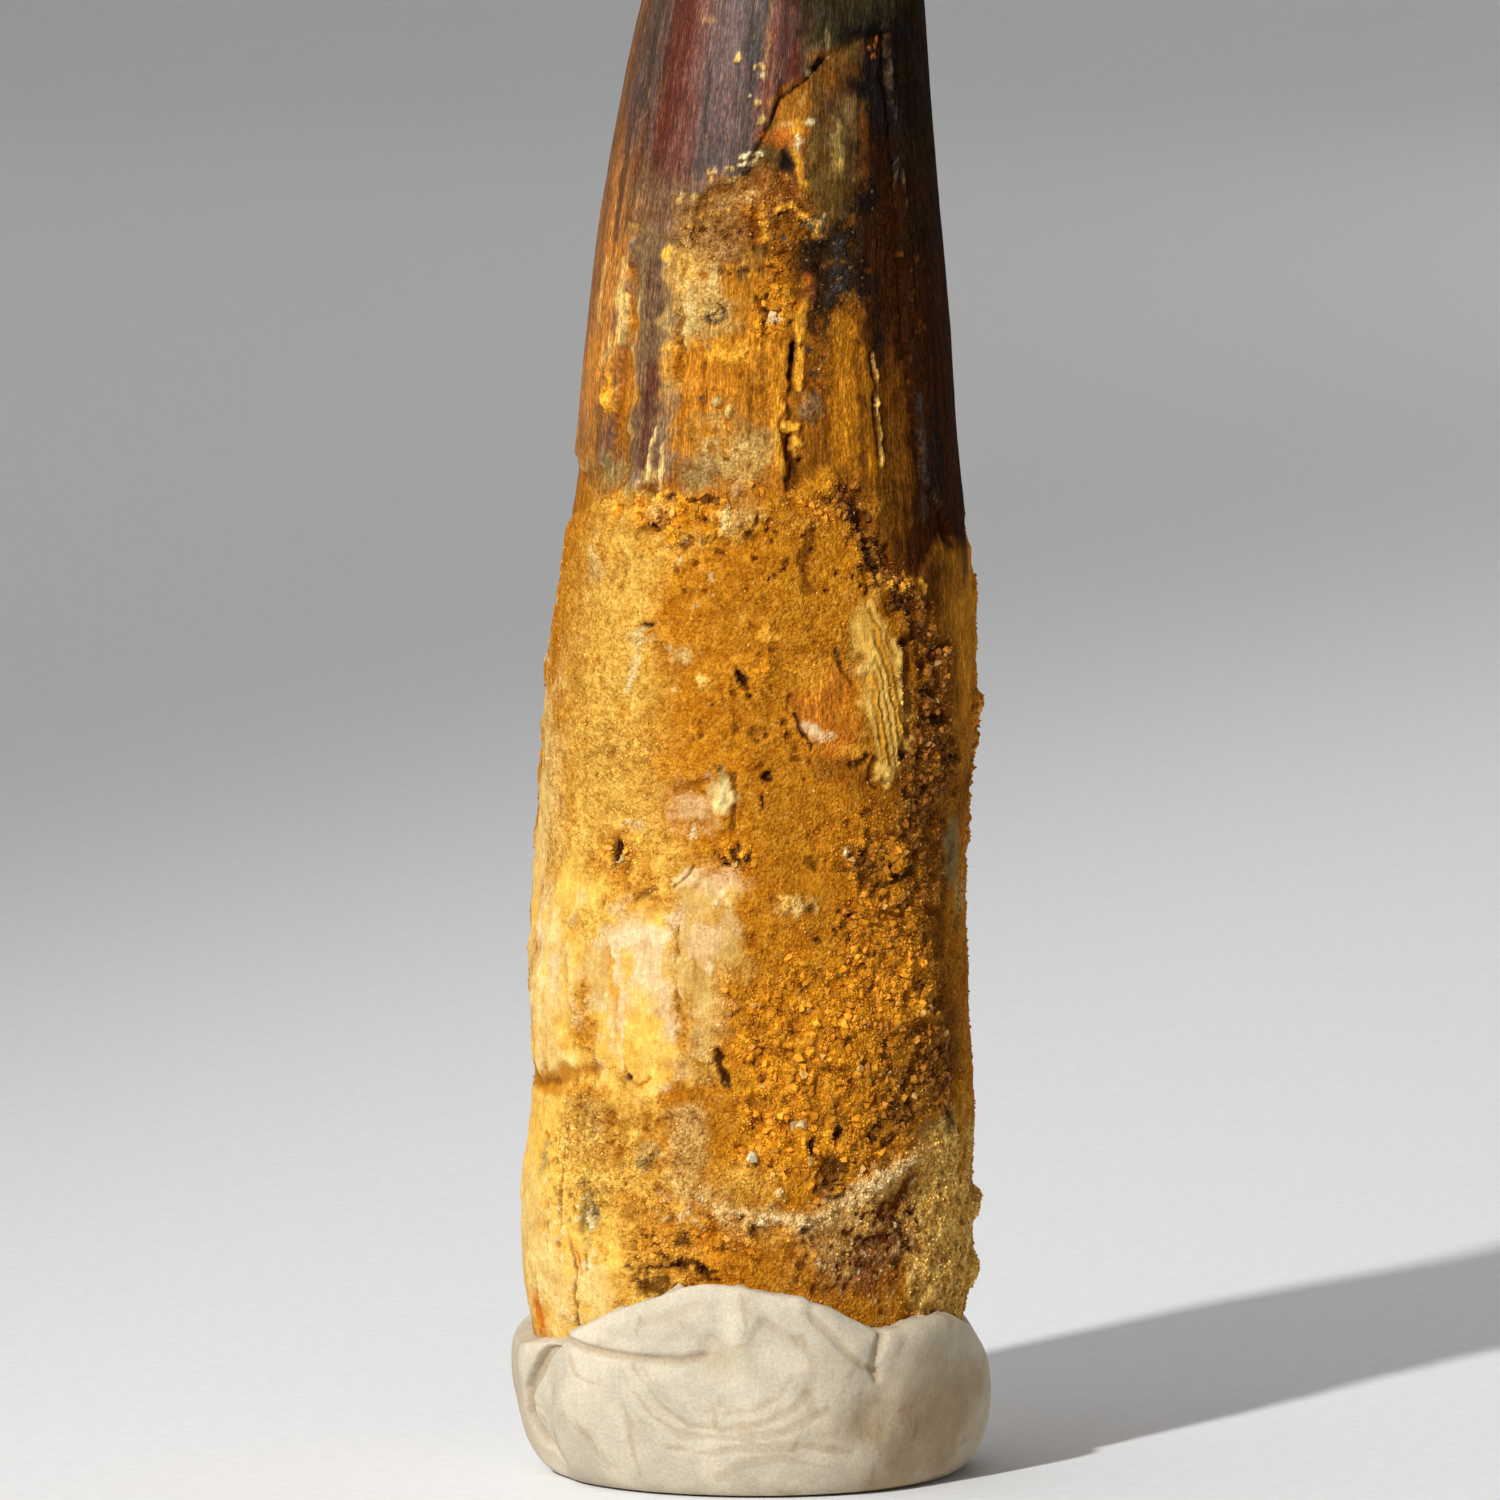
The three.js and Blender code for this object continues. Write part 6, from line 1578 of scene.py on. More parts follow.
@dataclass
class ToothForm:
    """The tooth's own smooth form, read off its solid: where its middle runs, and its radius all round."""

    node: Object
    azimuth_step: float = 2.5
    height_step: float = 0.5
    softening: float = 2.2
    round_step: float = 0.44
    soften_reach: int = 9

    def __post_init__(self) -> None:
        """Read the solid and sample it."""
        self.vertices, faces = mesh_arrays(self.node)
        self.tree = BVHTree.FromPolygons([Vector(v) for v in self.vertices], faces)
        self.low, self.high = self.vertices[:, 2].min(), self.vertices[:, 2].max()
        level = np.round(self.vertices[:, 2], 2)
        self.levels = np.unique(level)
        self.middles = np.array([self.vertices[level == z, :2].mean(axis=0) for z in self.levels])
        self.azimuths = np.arange(-180, 180, self.azimuth_step)
        self.heights = np.arange(self.low + 0.02, self.high - 0.1, self.height_step)
        raw = np.array([[self.cast(a, z) for a in self.azimuths] for z in self.heights])
        self.radii = self.soften(raw)

    def middle(self, height: np.ndarray) -> np.ndarray:
        """Where the tooth's middle is at each height, as x and y."""
        return np.column_stack([np.interp(height, self.levels, self.middles[:, k]) for k in (0, 1)])

    def cast(self, azimuth: float, height: float) -> float:
        """Radius of the solid towards an azimuth at a height.

        Args:
            azimuth: Degrees round from the front.
            height: Millimetres up.

        Returns:
            Millimetres from the middle, or 0 where there is no wall.
        """
        turn = math.radians(azimuth)
        x, y = self.middle(np.array([height]))[0]
        hit = self.tree.ray_cast(Vector((x, y, height)), Vector((math.sin(turn), -math.cos(turn), 0)))
        return hit[3] if hit[3] is not None else 0.0

    def soften(self, raw: np.ndarray) -> np.ndarray:
        """Take the low relief off the sampled radii, but not off the tip and the hidden root end.

        Args:
            raw: Sampled radii, a row for each height.

        Returns:
            Softened radii.
        """
        span = self.soften_reach
        reach = np.arange(-span, span + 1)
        bell_up = np.exp(-0.5 * (reach * self.height_step / self.softening) ** 2)
        bell_round = np.exp(-0.5 * (reach * self.round_step / self.softening) ** 2)
        around = sum(w * np.roll(raw, k, axis=1) for w, k in zip(bell_round / bell_round.sum(), reach))
        padded = np.pad(around, ((span, span), (0, 0)), mode="edge")
        count = len(raw)
        soft = sum(w * padded[span + k : span + k + count] for w, k in zip(bell_up / bell_up.sum(), reach))
        keep = np.maximum(
            smooth_step(self.high - 12, self.high - 5, self.heights),
            1 - smooth_step(self.low + 2, self.low + 6, self.heights),
        )[:, None]
        return keep * raw + (1 - keep) * soft

    def radius(self, azimuth: np.ndarray, height: np.ndarray) -> np.ndarray:
        """Softened radius at each azimuth and height, read between the samples.

        Args:
            azimuth: Degrees round from the front.
            height: Millimetres up.

        Returns:
            Millimetres from the middle.
        """
        column = ((azimuth + 180) % 360) / self.azimuth_step
        row = np.clip((height - self.heights[0]) / self.height_step, 0, len(self.heights) - 1.001)
        c0, r0 = np.floor(column).astype(int), np.floor(row).astype(int)
        c, r = column - c0, row - r0
        c1 = (c0 + 1) % len(self.azimuths)
        c0 = c0 % len(self.azimuths)
        lower = (1 - c) * self.radii[r0, c0] + c * self.radii[r0, c1]
        upper = (1 - c) * self.radii[r0 + 1, c0] + c * self.radii[r0 + 1, c1]
        return (1 - r) * lower + r * upper


@dataclass
class Tooth:
    """The fossil: enamel crown, worn lower crown, and a root of bone under cemented sand."""

    node: Object
    glossy: Material
    matt: Material
    front_columns: int = 380
    rear_columns: int = 100
    rows: tuple[tuple[float, float, int], ...] = (
        (2.22, 6.5, 6), (6.5, 45.6, 390), (45.6, 66, 185), (66, 94.7, 80),
    )
    parts: tuple[tuple[str, int, int], ...] = (
        ("fossil_root_foot", 0, 198), ("fossil_root", 198, 396), ("fossil_crown", 396, 581),
        ("fossil_crown_tip", 581, 661),
    )
    enamel_thickness: float = 0.3
    crust_thickness: float = 0.22
    cap_depth: float = 1.0
    edge_unrest: float = 0.13
    relief_starts: Place = (4.5, 7.5)
    relief_ends: Place = (90, 94)
    sand_starts: Place = (6, 7)

    def build(self) -> "Tooth":
        """Make the tooth's visible pieces, and the whole skin that sand is scattered on.

        Returns:
            The tooth, with its pieces.
        """
        self.form = ToothForm(self.node)
        skin = self.bare_skin()
        self.lay_ground(skin)
        for mark in TOOTH_MARKS:
            mark.lay(skin)
        self.weather(skin)
        self.whole = self.mesh("tooth_skin", skin, 0, len(self.heights) - 1)
        normals = read_each(self.whole.data.vertices, "normal")
        self.pieces = []
        for name, first_row, last_row in self.parts:
            piece = self.mesh(name, skin, first_row, last_row)
            self.shade_as_whole(piece, normals[first_row * len(self.azimuths) :])
            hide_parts("tooth")
            self.pieces.append(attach(piece, "root"))
        return self

    @staticmethod
    def shade_as_whole(piece: Object, normals: np.ndarray) -> None:
        """Give a piece the whole skin's normals, so that no line shows where the pieces meet.

        Args:
            piece: The piece to shade.
            normals: The skin's normals from the piece's first row on.
        """
        count = len(piece.data.vertices)
        own = normals[:count].copy()
        own[-2:] = ((0, 0, -1), (0, 0, 1))
        piece.data.normals_split_custom_set_from_vertices(own.tolist())

    def bare_skin(self) -> Skin:
        """Lay out the rows and columns of the surface, with more columns at the front.

        Returns:
            The skin.
        """
        front = np.linspace(-100, 100, self.front_columns, endpoint=False)
        rear = np.linspace(100, 260, self.rear_columns, endpoint=False)
        self.azimuths = (np.concatenate([front, rear]) + 180) % 360 - 180
        self.heights = np.concatenate([np.linspace(a, b, n, endpoint=False) for a, b, n in self.rows])
        self.heights = np.append(self.heights, self.rows[-1][1])
        azimuth = np.tile(self.azimuths, len(self.heights))
        height = np.repeat(self.heights, len(self.azimuths))
        radius = self.form.radius(azimuth, height)
        return Skin.bare(azimuth, height, radius, self.points(azimuth, height, radius), self.edge_unrest)

    def points(self, azimuth: np.ndarray, height: np.ndarray, radius: np.ndarray) -> np.ndarray:
        """Places in space, in millimetres, of azimuths, heights and radii.

        Args:
            azimuth: Degrees round from the front.
            height: Millimetres up.
            radius: Millimetres from the middle.

        Returns:
            One place for each.
        """
        turn = np.radians(azimuth)
        middle = self.form.middle(height)
        x, y = middle[:, 0] + radius * np.sin(turn), middle[:, 1] - radius * np.cos(turn)
        return np.column_stack([x, y, height])

    def lay_ground(self, skin: Skin) -> None:
        """Lay the dentine first, then the enamel over it from above and the crust from below.

        Args:
            skin: The skin, changed in place.
        """
        everywhere = np.arange(len(skin.azimuth))
        ragged = 0.35 * cloud(skin.points, 1.4, seed=41) + 0.1 * cloud(skin.points, 0.3, seed=42)
        wander = skin.azimuth + 4 * cloud(skin.straight * (1, 1, 0.12), 1.2, seed=43)
        wander += 5 * cloud(skin.straight * (1, 1, 0.06), 0.35, seed=45, octaves=2)
        wander += 5 * cloud(skin.straight * (1, 1, 0.1), 0.2, seed=46, octaves=1)
        enamel_edge = np.interp(skin.azimuth, *np.transpose(ENAMEL_EDGE))
        crust_top = np.interp(skin.azimuth, *np.transpose(CRUST_TOP))
        enamel = smooth_step(-0.22, 0.22, skin.height - enamel_edge + ragged)
        crust = 1 - smooth_step(-0.35, 0.35, skin.height - crust_top + 1.6 * ragged)
        high_up = smooth_step(52, 57.5, skin.height)[:, None]
        low_tint, window_tint = self.banded(wander, DENTINE_TINTS), self.banded(wander, WINDOW_TINTS)
        skin.tint[:] = (1 - high_up) * low_tint + high_up * window_tint
        skin.paint(np.ones(len(everywhere)), None, Finish.DENTINE, everywhere)
        skin.tint += enamel[:, None] * (self.banded(wander, ENAMEL_TINTS) - skin.tint)
        skin.paint(enamel, None, Finish.ENAMEL, everywhere)
        sand_wander = skin.azimuth + 16 * cloud(skin.points, 4.0, seed=44)
        skin.tint += crust[:, None] * (self.banded(sand_wander, CRUST_TINTS_WITH_SHADE) - skin.tint)
        skin.paint(crust, None, Finish.CRUST, everywhere)
        skin.relief -= (1 - enamel) * (1 - crust) * self.enamel_thickness
        skin.relief += crust * (self.crust_thickness - self.enamel_thickness)

    @staticmethod
    def banded(azimuth: np.ndarray, stops: tuple[tuple[float, Tint], ...]) -> np.ndarray:
        """Colours read off stops round the tooth.

        Args:
            azimuth: Where to read, in degrees.
            stops: Azimuths and the tints there, in order.

        Returns:
            One linear colour for each azimuth.
        """
        places = [a for a, _ in stops]
        colours = np.array([tint.linear for _, tint in stops])
        turned = (azimuth + 180) % 360 - 180
        return np.column_stack([np.interp(turned, places, colours[:, k]) for k in range(3)])

    def weather(self, skin: Skin) -> None:
        """Roughen sandy ground, ridge fibrous ground, lower what loose grains lie on, and paint shade into
        hollows and light onto bumps.

        Args:
            skin: The skin, changed in place.
        """
        _, grain, fibre, loose = skin.finish.T
        lumps = 0.1 * cloud(skin.points, 3.4, seed=51) + 0.08 * cloud(skin.points, 1.3, seed=52)
        crumbs = 0.085 * cloud(skin.points, 0.55, seed=53, octaves=3)
        clumps = 0.08 - 0.22 * np.abs(cloud(skin.points, 1.0, seed=55, octaves=2))
        pits = 0.2 * smooth_step(0.4, 0.8, cloud(skin.points, 0.85, seed=56, octaves=2))
        ridges = 0.04 * cloud(skin.straight * (1, 1, 0.14), 0.5, seed=54)
        skin.relief += grain * (lumps + crumbs * (0.7 + loose) - 0.35 * pits) + fibre * ridges
        skin.relief += loose * (clumps - pits - 0.05)
        # Painted shade in hollows and painted light on bumps, from how far the relief lies below or above its
        # surroundings; the dust is the surface's own mottling.
        hollow = skin.relief - self.blurred(skin.relief)
        shade = np.clip(1.0 + 2.0 * hollow * (0.5 + grain), 0.6, 1.25)
        dust = cloud(skin.points, 0.9, seed=57) * (0.4 + 0.6 * grain)
        skin.tint *= (shade * (1 + 0.13 * dust))[:, None] ** HOLLOW_WARMTH
        starts, ends = (smooth_step(*span, skin.height) for span in (self.relief_starts, self.relief_ends))
        skin.relief *= starts * (1 - ends)
        skin.finish[:, LAYERS.index("loose")] *= smooth_step(*self.sand_starts, skin.height)

    def blurred(self, values: np.ndarray, reach: int = 8) -> np.ndarray:
        """Average values over their neighbours on the surface.

        Args:
            values: One value for each place of the skin.
            reach: How many rows and columns to take in on each side.

        Returns:
            The averages.
        """
        grid = values.reshape(len(self.heights), len(self.azimuths))
        steps = range(-reach, reach + 1)
        grid = sum(np.roll(grid, k, axis=1) for k in steps) / len(steps)
        padded = np.pad(grid, ((reach, reach), (0, 0)), mode="edge")
        return (sum(padded[reach + k : reach + k + len(grid)] for k in steps) / len(steps)).ravel()

    def mesh(self, name: str, skin: Skin, first_row: int, last_row: int) -> Object:
        """Join rows into one closed mesh and store what the finish reads.

        Args:
            name: The piece's name.
            skin: The finished skin.
            first_row: The piece's lowest row.
            last_row: Its highest row.

        Returns:
            The object.
        """
        columns, rows = len(self.azimuths), last_row - first_row + 1
        part = slice(first_row * columns, (last_row + 1) * columns)
        azimuth, height = skin.azimuth[part], skin.height[part]
        points = self.points(azimuth, height, skin.radius[part] + skin.relief[part])
        low = self.form.low if first_row == 0 else height[0] + self.cap_depth
        high = self.form.high if last_row == len(self.heights) - 1 else height[-1] - self.cap_depth
        hubs = [[*self.form.middle(np.array([z]))[0], z] for z in (low, high)]
        index = np.arange(rows * columns).reshape(rows, columns)
        right = np.roll(index, -1, axis=1)
        quads = np.stack([index[:-1], right[:-1], right[1:], index[1:]], axis=-1).reshape(-1, 4)
        faces = quads.tolist()
        faces += [[rows * columns, b, a] for a, b in zip(index[0], right[0])]
        faces += [[a, b, rows * columns + 1] for a, b in zip(index[-1], right[-1])]
        mesh = bpy.data.meshes.new(name)
        mesh.from_pydata((np.vstack([points, hubs]) * MM).tolist(), [], faces)
        mesh.shade_smooth()
        values = {"tint": skin.tint, "straight": skin.straight}
        values |= {title: skin.finish[:, k] for k, title in enumerate(LAYERS)}
        for title, value in values.items():
            own = value[part]
            store(mesh, title, np.concatenate([own, own[:1], own[-1:]]))
        piece = new_object(name, mesh, self.glossy, self.matt)
        dull = skin.finish[part][quads[:, 0], 0] < 0.6
        caps = np.ones(2 * columns, dtype=bool)
        mesh.polygons.foreach_set("material_index", np.append(dull, caps).astype(np.int32))
        return piece


@dataclass
class SandCoat:
    """Loose sand stuck to part of the tooth, scattered by Geometry Nodes and made one plain mesh."""

    name: str
    tooth: Object
    finish: Material
    sector: Place
    lowest_density: float
    spacing: float
    grain_size: float
    seed: int

    def build(self) -> Object:
        """Scatter the grains and join them.

        Returns:
            The coat.
        """
        ground = self.ground()
        tree = self.tree()
        modifier = ground.modifiers.new("scatter", "NODES")
        modifier.node_group = tree
        inputs = {s.name: s.identifier for s in tree.interface.items_tree if s.in_out == "INPUT"}
        modifier[inputs["Spacing"]] = self.spacing * MM
        modifier[inputs["Grain size"]] = self.grain_size * MM
        modifier[inputs["Seed"]] = self.seed
        modifier[inputs["Finish"]] = self.finish
        bpy.context.view_layer.update()
        evaluated = ground.evaluated_get(bpy.context.evaluated_depsgraph_get())
        mesh = bpy.data.meshes.new_from_object(evaluated)
        bpy.data.objects.remove(ground)
        mesh.name = self.name
        coat = new_object(self.name, mesh)
        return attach(coat, "root")

    def ground(self) -> Object:
        """A copy of the tooth that holds how thickly the sand lies in this sector.

        Returns:
            The copy.
        """
        mesh = self.tooth.data.copy()
        co, _ = mesh_arrays(self.tooth)
        straight = read_each(mesh.attributes["straight"].data, "vector")
        azimuth = np.degrees(np.arctan2(straight[:, 0], -straight[:, 1]))
        loose = read_each(mesh.attributes["loose"].data, "value", 1)[:, 0]
        low, high = self.sector
        inside = ((azimuth - low) % 360) < (high - low)
        broken = 0.5 + 0.5 * cloud(co, 1.1, seed=61)
        thick = np.where(loose > self.lowest_density, loose * (0.55 + 0.9 * broken), 0.0)
        store(mesh, "thickness", np.clip(thick * inside, 0, 1))
        return new_object(f"{self.name}_ground", mesh)

    def tree(self) -> NodeTree:
        """The node tree: points on the ground, a random grain on each, joined and given their finish.

        Returns:
            The tree.
        """
        tree = bpy.data.node_groups.new(f"{self.name}_scatter", "GeometryNodeTree")
        sockets = {"Ground": "Geometry", "Spacing": "Float", "Grain size": "Float", "Seed": "Int",
                   "Finish": "Material"}
        for title, kind in sockets.items():
            tree.interface.new_socket(title, in_out="INPUT", socket_type=f"NodeSocket{kind}")
        tree.interface.new_socket("Sand", in_out="OUTPUT", socket_type="NodeSocketGeometry")
        g = Graph(tree)
        given, out = g.node("NodeGroupInput"), g.node("NodeGroupOutput")
        thickness = g.node("GeometryNodeInputNamedAttribute", {"Name": "thickness"}, data_type="FLOAT")
        crowd = g.math("DIVIDE", 1.1, g.math("POWER", given.outputs["Spacing"], 2.0))
        points = g.node(
            "GeometryNodeDistributePointsOnFaces",
            {"Mesh": given.outputs["Ground"], "Distance Min": given.outputs["Spacing"], "Density Max": crowd,
             "Density Factor": thickness.outputs["Attribute"], "Seed": given.outputs["Seed"]},
            distribute_method="POISSON",
        )
        half = g.math("MULTIPLY", given.outputs["Grain size"], 0.5)
        grain = g.node("GeometryNodeMeshIcoSphere", {"Radius": half, "Subdivisions": 1})
        turned = self.random(g, "FLOAT_VECTOR", (0.0, 0.0, 0.0), (math.tau, math.tau, math.tau), 1)
        sized = self.random(g, "FLOAT_VECTOR", (0.6, 0.6, 0.55), (1.35, 1.2, 1.1), 2)
        placed = g.node(
            "GeometryNodeInstanceOnPoints",
            {"Points": points.outputs["Points"], "Instance": grain.outputs["Mesh"], "Rotation": turned,
             "Scale": sized},
        )
        tone = self.random(g, "FLOAT", 0.0, 1.0, 3)
        toned = g.node(
            "GeometryNodeStoreNamedAttribute",
            {"Geometry": placed.outputs[0], "Name": "grain_tone", "Value": tone},
            data_type="FLOAT", domain="INSTANCE",
        )
        joined = g.node("GeometryNodeRealizeInstances", {"Geometry": toned.outputs[0]})
        knock = self.random(g, "FLOAT_VECTOR", (-0.5, -0.5, -0.5), (0.5, 0.5, 0.5), 4)
        moved = g.node(
            "GeometryNodeSetPosition", {"Geometry": joined.outputs[0], "Offset": g.scale(knock, half)}
        )
        dressed = g.node(
            "GeometryNodeSetMaterial", {"Geometry": moved.outputs[0], "Material": given.outputs["Finish"]}
        )
        g.feed(out, {"Sand": dressed.outputs[0]})
        return tree

    @staticmethod
    def random(g: Graph, kind: str, low: object, high: object, seed: int) -> NodeSocket:
        """A random value for each grain, in a fixed order.

        Args:
            g: The graph to build in.
            kind: The type of value.
            low: The least it can be.
            high: The most it can be.
            seed: Picks one of many orders.

        Returns:
            The value.
        """
        made = g.node("FunctionNodeRandomValue", data_type=kind)
        live = [s for s in made.inputs if s.enabled]
        for socket, value in zip(live, (low, high)):
            socket.default_value = value
        made.inputs["Seed"].default_value = seed
        return next(s for s in made.outputs if s.enabled)


@dataclass
class PuttyLump:
    """The kneaded putty that holds the root, pressed close round it, with its folds and dents."""

    node: Object
    tooth: Object
    finish: Material
    levels: int = 3
    press_reach: float = 1.2
    press_overlap: float = 0.02
    press_floor: float = 3.5

    def build(self) -> Object:
        """Make the putty's visible piece.

        Returns:
            The piece.
        """
        mesh = self.refined()
        piece = new_object("putty_lump", mesh, self.finish)
        self.shape(mesh)
        mesh.shade_smooth()
        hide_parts("putty")
        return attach(piece, "root")

    def refined(self) -> bpy.types.Mesh:
        """A merged copy of the solid, its triangles paired, made finer and rounder.

        Returns:
            The mesh.
        """
        work = bmesh.new()
        work.from_mesh(self.node.data)
        bmesh.ops.remove_doubles(work, verts=work.verts, dist=1e-6)
        bmesh.ops.join_triangles(
            work, faces=work.faces, angle_face_threshold=math.pi, angle_shape_threshold=math.pi
        )
        rough = bpy.data.meshes.new("putty_rough")
        work.to_mesh(rough)
        work.free()
        rough.materials.clear()
        holder = new_object("putty_rough", rough)
        subdivision = holder.modifiers.new("round", "SUBSURF")
        subdivision.levels = subdivision.render_levels = self.levels
        bpy.context.view_layer.update()
        mesh = bpy.data.meshes.new_from_object(holder.evaluated_get(bpy.context.evaluated_depsgraph_get()))
        bpy.data.objects.remove(holder)
        mesh.name = "putty_lump"
        return mesh

    def shape(self, mesh: bpy.types.Mesh) -> None:
        """Press the lip to the tooth, then fold, dent and roughen the outside.

        Args:
            mesh: The refined mesh, changed in place.
        """
        co, normals = read_each(mesh.vertices, "co") / MM, read_each(mesh.vertices, "normal")
        radius = np.hypot(co[:, 0], co[:, 1])
        azimuth = np.degrees(np.arctan2(co[:, 0], -co[:, 1]))
        outward = (normals[:, 0] * co[:, 0] + normals[:, 1] * co[:, 1]) / np.maximum(radius, 1e-6)
        skin = Skin.bare(azimuth, co[:, 2], radius, co, 0.03)
        skin.paint(np.ones(len(co)), Tint.PUTTY, Finish.KNEADED, np.arange(len(co)))
        for mark in PUTTY_MARKS:
            mark.lay(skin)
        free = smooth_step(-0.2, 0.3, outward) * smooth_step(0.0, 1.2, co[:, 2])
        lumps = 0.1 * cloud(co, 4.0, seed=71, octaves=2) + 0.02 * cloud(co, 0.8, seed=72)
        co += normals * (free * (skin.relief + lumps))[:, None]
        co = self.pressed(co, smooth_step(0.5, -0.3, outward))
        mesh.vertices.foreach_set("co", (co * MM).ravel())
        mesh.update()
        store(mesh, "tint", skin.tint)

    def pressed(self, co: np.ndarray, inner: np.ndarray) -> np.ndarray:
        """Move the inside of the lip onto the tooth.

        Args:
            co: Vertices in millimetres.
            inner: How much each vertex belongs to the inside.

        Returns:
            The moved vertices.
        """
        vertices, faces = mesh_arrays(self.tooth)
        tree = BVHTree.FromPolygons([Vector(v) for v in vertices], faces)
        for i in np.flatnonzero((inner > 0.02) & (co[:, 2] > self.press_floor)):
            near, normal, _, _ = tree.find_nearest(Vector(co[i]), self.press_reach)
            if near is None:
                continue
            target = np.array(near - normal * self.press_overlap)
            co[i] += inner[i] * (target - co[i])
        return co


@dataclass(frozen=True)
class Studio:
    """A pale floor that rises all round, low light from the front left, and the camera."""

    floor_radius: float = 1.3
    turns: int = 96
    bend_radius: float = 0.25
    wall_height: float = 0.5
    key_azimuth: float = -34.0
    key_elevation: float = 32.0
    key_distance: float = 1.25
    key_watts: float = 67.0
    key_radius: float = 0.025
    key_cone: float = 48.0
    key_edge: float = 0.43
    key_centre: Colour = (0.64, 0.19, 0.0)
    backdrop_place: Colour = (0.9, 0.9, 0.8)
    backdrop_watts: float = 60.0
    backdrop_cone: float = 100.0
    key_aim: Colour = (0.03, -0.02, 0.02)
    sky_towards: Colour = (-0.636, 0.099, 0.765)
    sky_dark: float = 0.04
    sky_bright: float = 0.84
    camera_distance: float = 0.6
    camera_elevation: float = 5.5
    frame_width: float = 0.06818
    sensor_width: float = 36.0
    aim: Colour = (-0.00023, 0.0, 0.033)

    def build(self, effects: Effects) -> None:
        """Set the stage, the lights and the camera.

        Args:
            effects: The shared shader effects.
        """
        self.sweep(effects)
        self.key()
        self.backdrop_light()
        self.world()
        self.camera()
        bpy.context.scene.view_settings.view_transform = "Standard"

    def sweep(self, effects: Effects) -> Object:
        """The floor and the wall it bends up into, as one turned surface.

        Args:
            effects: The shared shader effects.

        Returns:
            The floor and wall.
        """
        bend = [math.radians(a) for a in range(0, 91, 6)]
        profile = [(0.0, 0.0), (0.15, 0.0), (0.4, 0.0), (0.8, 0.0)]
        profile += [
            (self.floor_radius + self.bend_radius * math.sin(a), self.bend_radius * (1 - math.cos(a)))
            for a in bend
        ]
        profile.append((self.floor_radius + self.bend_radius, self.wall_height))
        turns = self.turns
        vertices = [
            (r * math.cos(math.tau * i / turns), r * math.sin(math.tau * i / turns), z)
            for r, z in profile[1:]
            for i in range(turns)
        ]
        faces = [
            (above + i, above + (i + 1) % turns, below + (i + 1) % turns, below + i)
            for below, above in ((j * turns, (j + 1) * turns) for j in range(len(profile) - 2))
            for i in range(turns)
        ]
        faces.append(tuple(range(turns)))
        mesh = bpy.data.meshes.new("studio_sweep")
        mesh.from_pydata(vertices, [], faces)
        mesh.shade_smooth()
        material, g, shader = new_material("pale_floor", 0.1)
        mottle = g.effect(effects.mottle, position=g.place(), size=0.8)
        tone = g.ramp(mottle.outputs["Cloud"], 0.0, 1.0, (0.77, 0.8))
        grey = g.node("ShaderNodeCombineColor", {0: tone, 1: tone, 2: tone}).outputs[0]
        g.feed(shader, {"Base Color": grey, "Roughness": 0.9})
        return new_object("studio_sweep", mesh, material)

    def key(self) -> None:
        """The one strong light, low at the front left, whose edge falls across the floor behind."""
        turn, rise = math.radians(self.key_azimuth), math.radians(self.key_elevation)
        away = Vector((math.sin(turn) * math.cos(rise), -math.cos(turn) * math.cos(rise), math.sin(rise)))
        place = Vector(self.key_aim) + away * self.key_distance
        self.spot("key", place, Vector(self.key_centre), self.key_watts, self.key_cone, self.key_edge)

    def backdrop_light(self) -> None:
        """A weak light from straight above the far right of the floor, clear of the object."""
        place = Vector(self.backdrop_place)
        under = Vector((place.x, place.y, 0.0))
        self.spot("backdrop_light", place, under, self.backdrop_watts, self.backdrop_cone, 1.0)

    def spot(self, name: str, place: Vector, centre: Vector, watts: float, cone: float, edge: float) -> None:
        """Hang a spot lamp.

        Args:
            name: The lamp's name.
            place: Where it hangs.
            centre: The middle of what it lights.
            watts: Its power.
            cone: The full angle of its beam, in degrees.
            edge: How soft the beam's edge is, 0 to 1.
        """
        light = bpy.data.lights.new(name, "SPOT")
        light.energy = watts
        light.shadow_soft_size = self.key_radius
        light.spot_size = math.radians(cone)
        light.spot_blend = edge
        lamp = bpy.data.objects.new(name, light)
        lamp.location = place
        lamp.rotation_euler = (place - centre).to_track_quat("Z", "Y").to_euler()
        lamp.visible_camera = False
        bpy.context.scene.collection.objects.link(lamp)

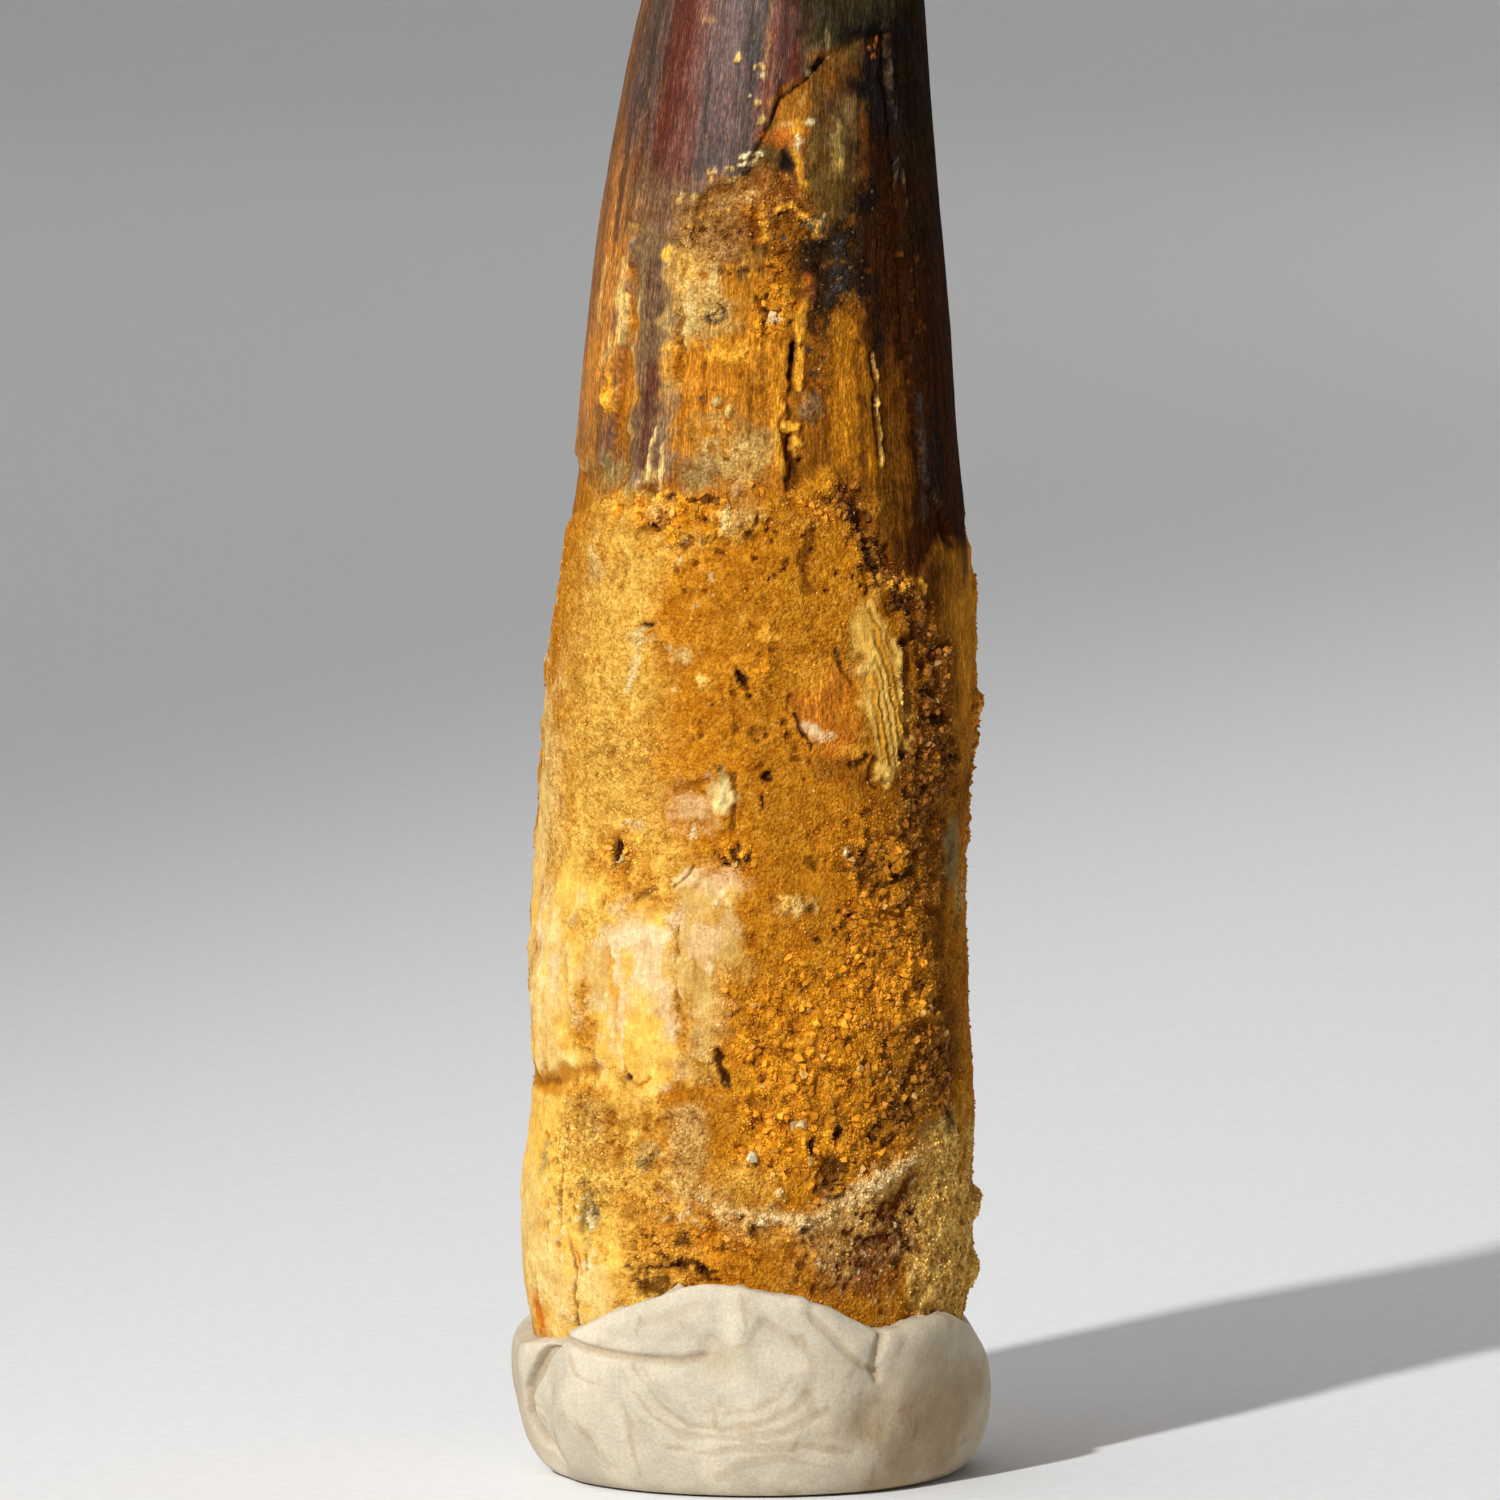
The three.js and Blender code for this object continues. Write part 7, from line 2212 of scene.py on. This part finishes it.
    def world(self) -> None:
        """Soft light from a broad part of the sky, high on the left, and little from elsewhere."""
        world = bpy.data.worlds.new("studio")
        world.use_nodes = True
        g = Graph(world.node_tree)
        towards = g.node("ShaderNodeTexCoord").outputs["Generated"]
        facing = g.node("ShaderNodeVectorMath", {0: towards, 1: self.sky_towards}, operation="DOT_PRODUCT")
        strength = g.ramp(facing.outputs["Value"], 0.25, 0.92, (self.sky_dark, self.sky_bright))
        g.feed(world.node_tree.nodes["Background"], {"Color": (1.0, 1.0, 1.0, 1.0), "Strength": strength})
        bpy.context.scene.world = world

    def camera(self) -> None:
        """The camera, a little above the object and square to its front."""
        data = bpy.data.cameras.new("camera")
        data.sensor_width = self.sensor_width
        data.lens = self.sensor_width * self.camera_distance / self.frame_width
        data.clip_start = 0.01
        camera = bpy.data.objects.new("camera", data)
        rise = math.radians(self.camera_elevation)
        away = Vector((0.0, -math.cos(rise), math.sin(rise)))
        camera.location = Vector(self.aim) + away * self.camera_distance
        camera.rotation_euler = away.to_track_quat("Z", "Y").to_euler()
        bpy.context.scene.collection.objects.link(camera)
        bpy.context.scene.camera = camera


def main() -> None:
    """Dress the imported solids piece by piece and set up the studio."""
    logging.basicConfig(level=logging.INFO, format="%(message)s")
    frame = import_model()
    nodes = frame["nodes"]
    effects = Effects.build()
    glossy = FossilFinish(effects, "polished_enamel", 0.16).build()
    matt = FossilFinish(effects, "worn_fossil", 0.02).build()
    tooth = Tooth(nodes["tooth"], glossy, matt).build()
    grain = GrainFinish(effects).build()
    coats = (
        SandCoat("front_sand", tooth.whole, grain, (-95, 15), 0.06, 0.115, 0.13, 1),
        SandCoat("side_sand", tooth.whole, grain, (15, 95), 0.06, 0.108, 0.135, 4),
        SandCoat("rear_sand", tooth.whole, grain, (95, 265), 0.06, 0.2, 0.2, 2),
        SandCoat("coarse_sand", tooth.whole, grain, (-180, 180), 0.6, 0.3, 0.36, 3),
    )
    pieces = [*tooth.pieces, *(coat.build() for coat in coats)]
    pieces.append(PuttyLump(nodes["putty"], tooth.whole, PuttyFinish(effects).build()).build())
    bpy.data.objects.remove(tooth.whole)
    for piece in pieces:
        LOG.info("%s: %d faces", piece.name, len(piece.data.polygons))
    Studio().build(effects)


if __name__ == "__main__":
    main()
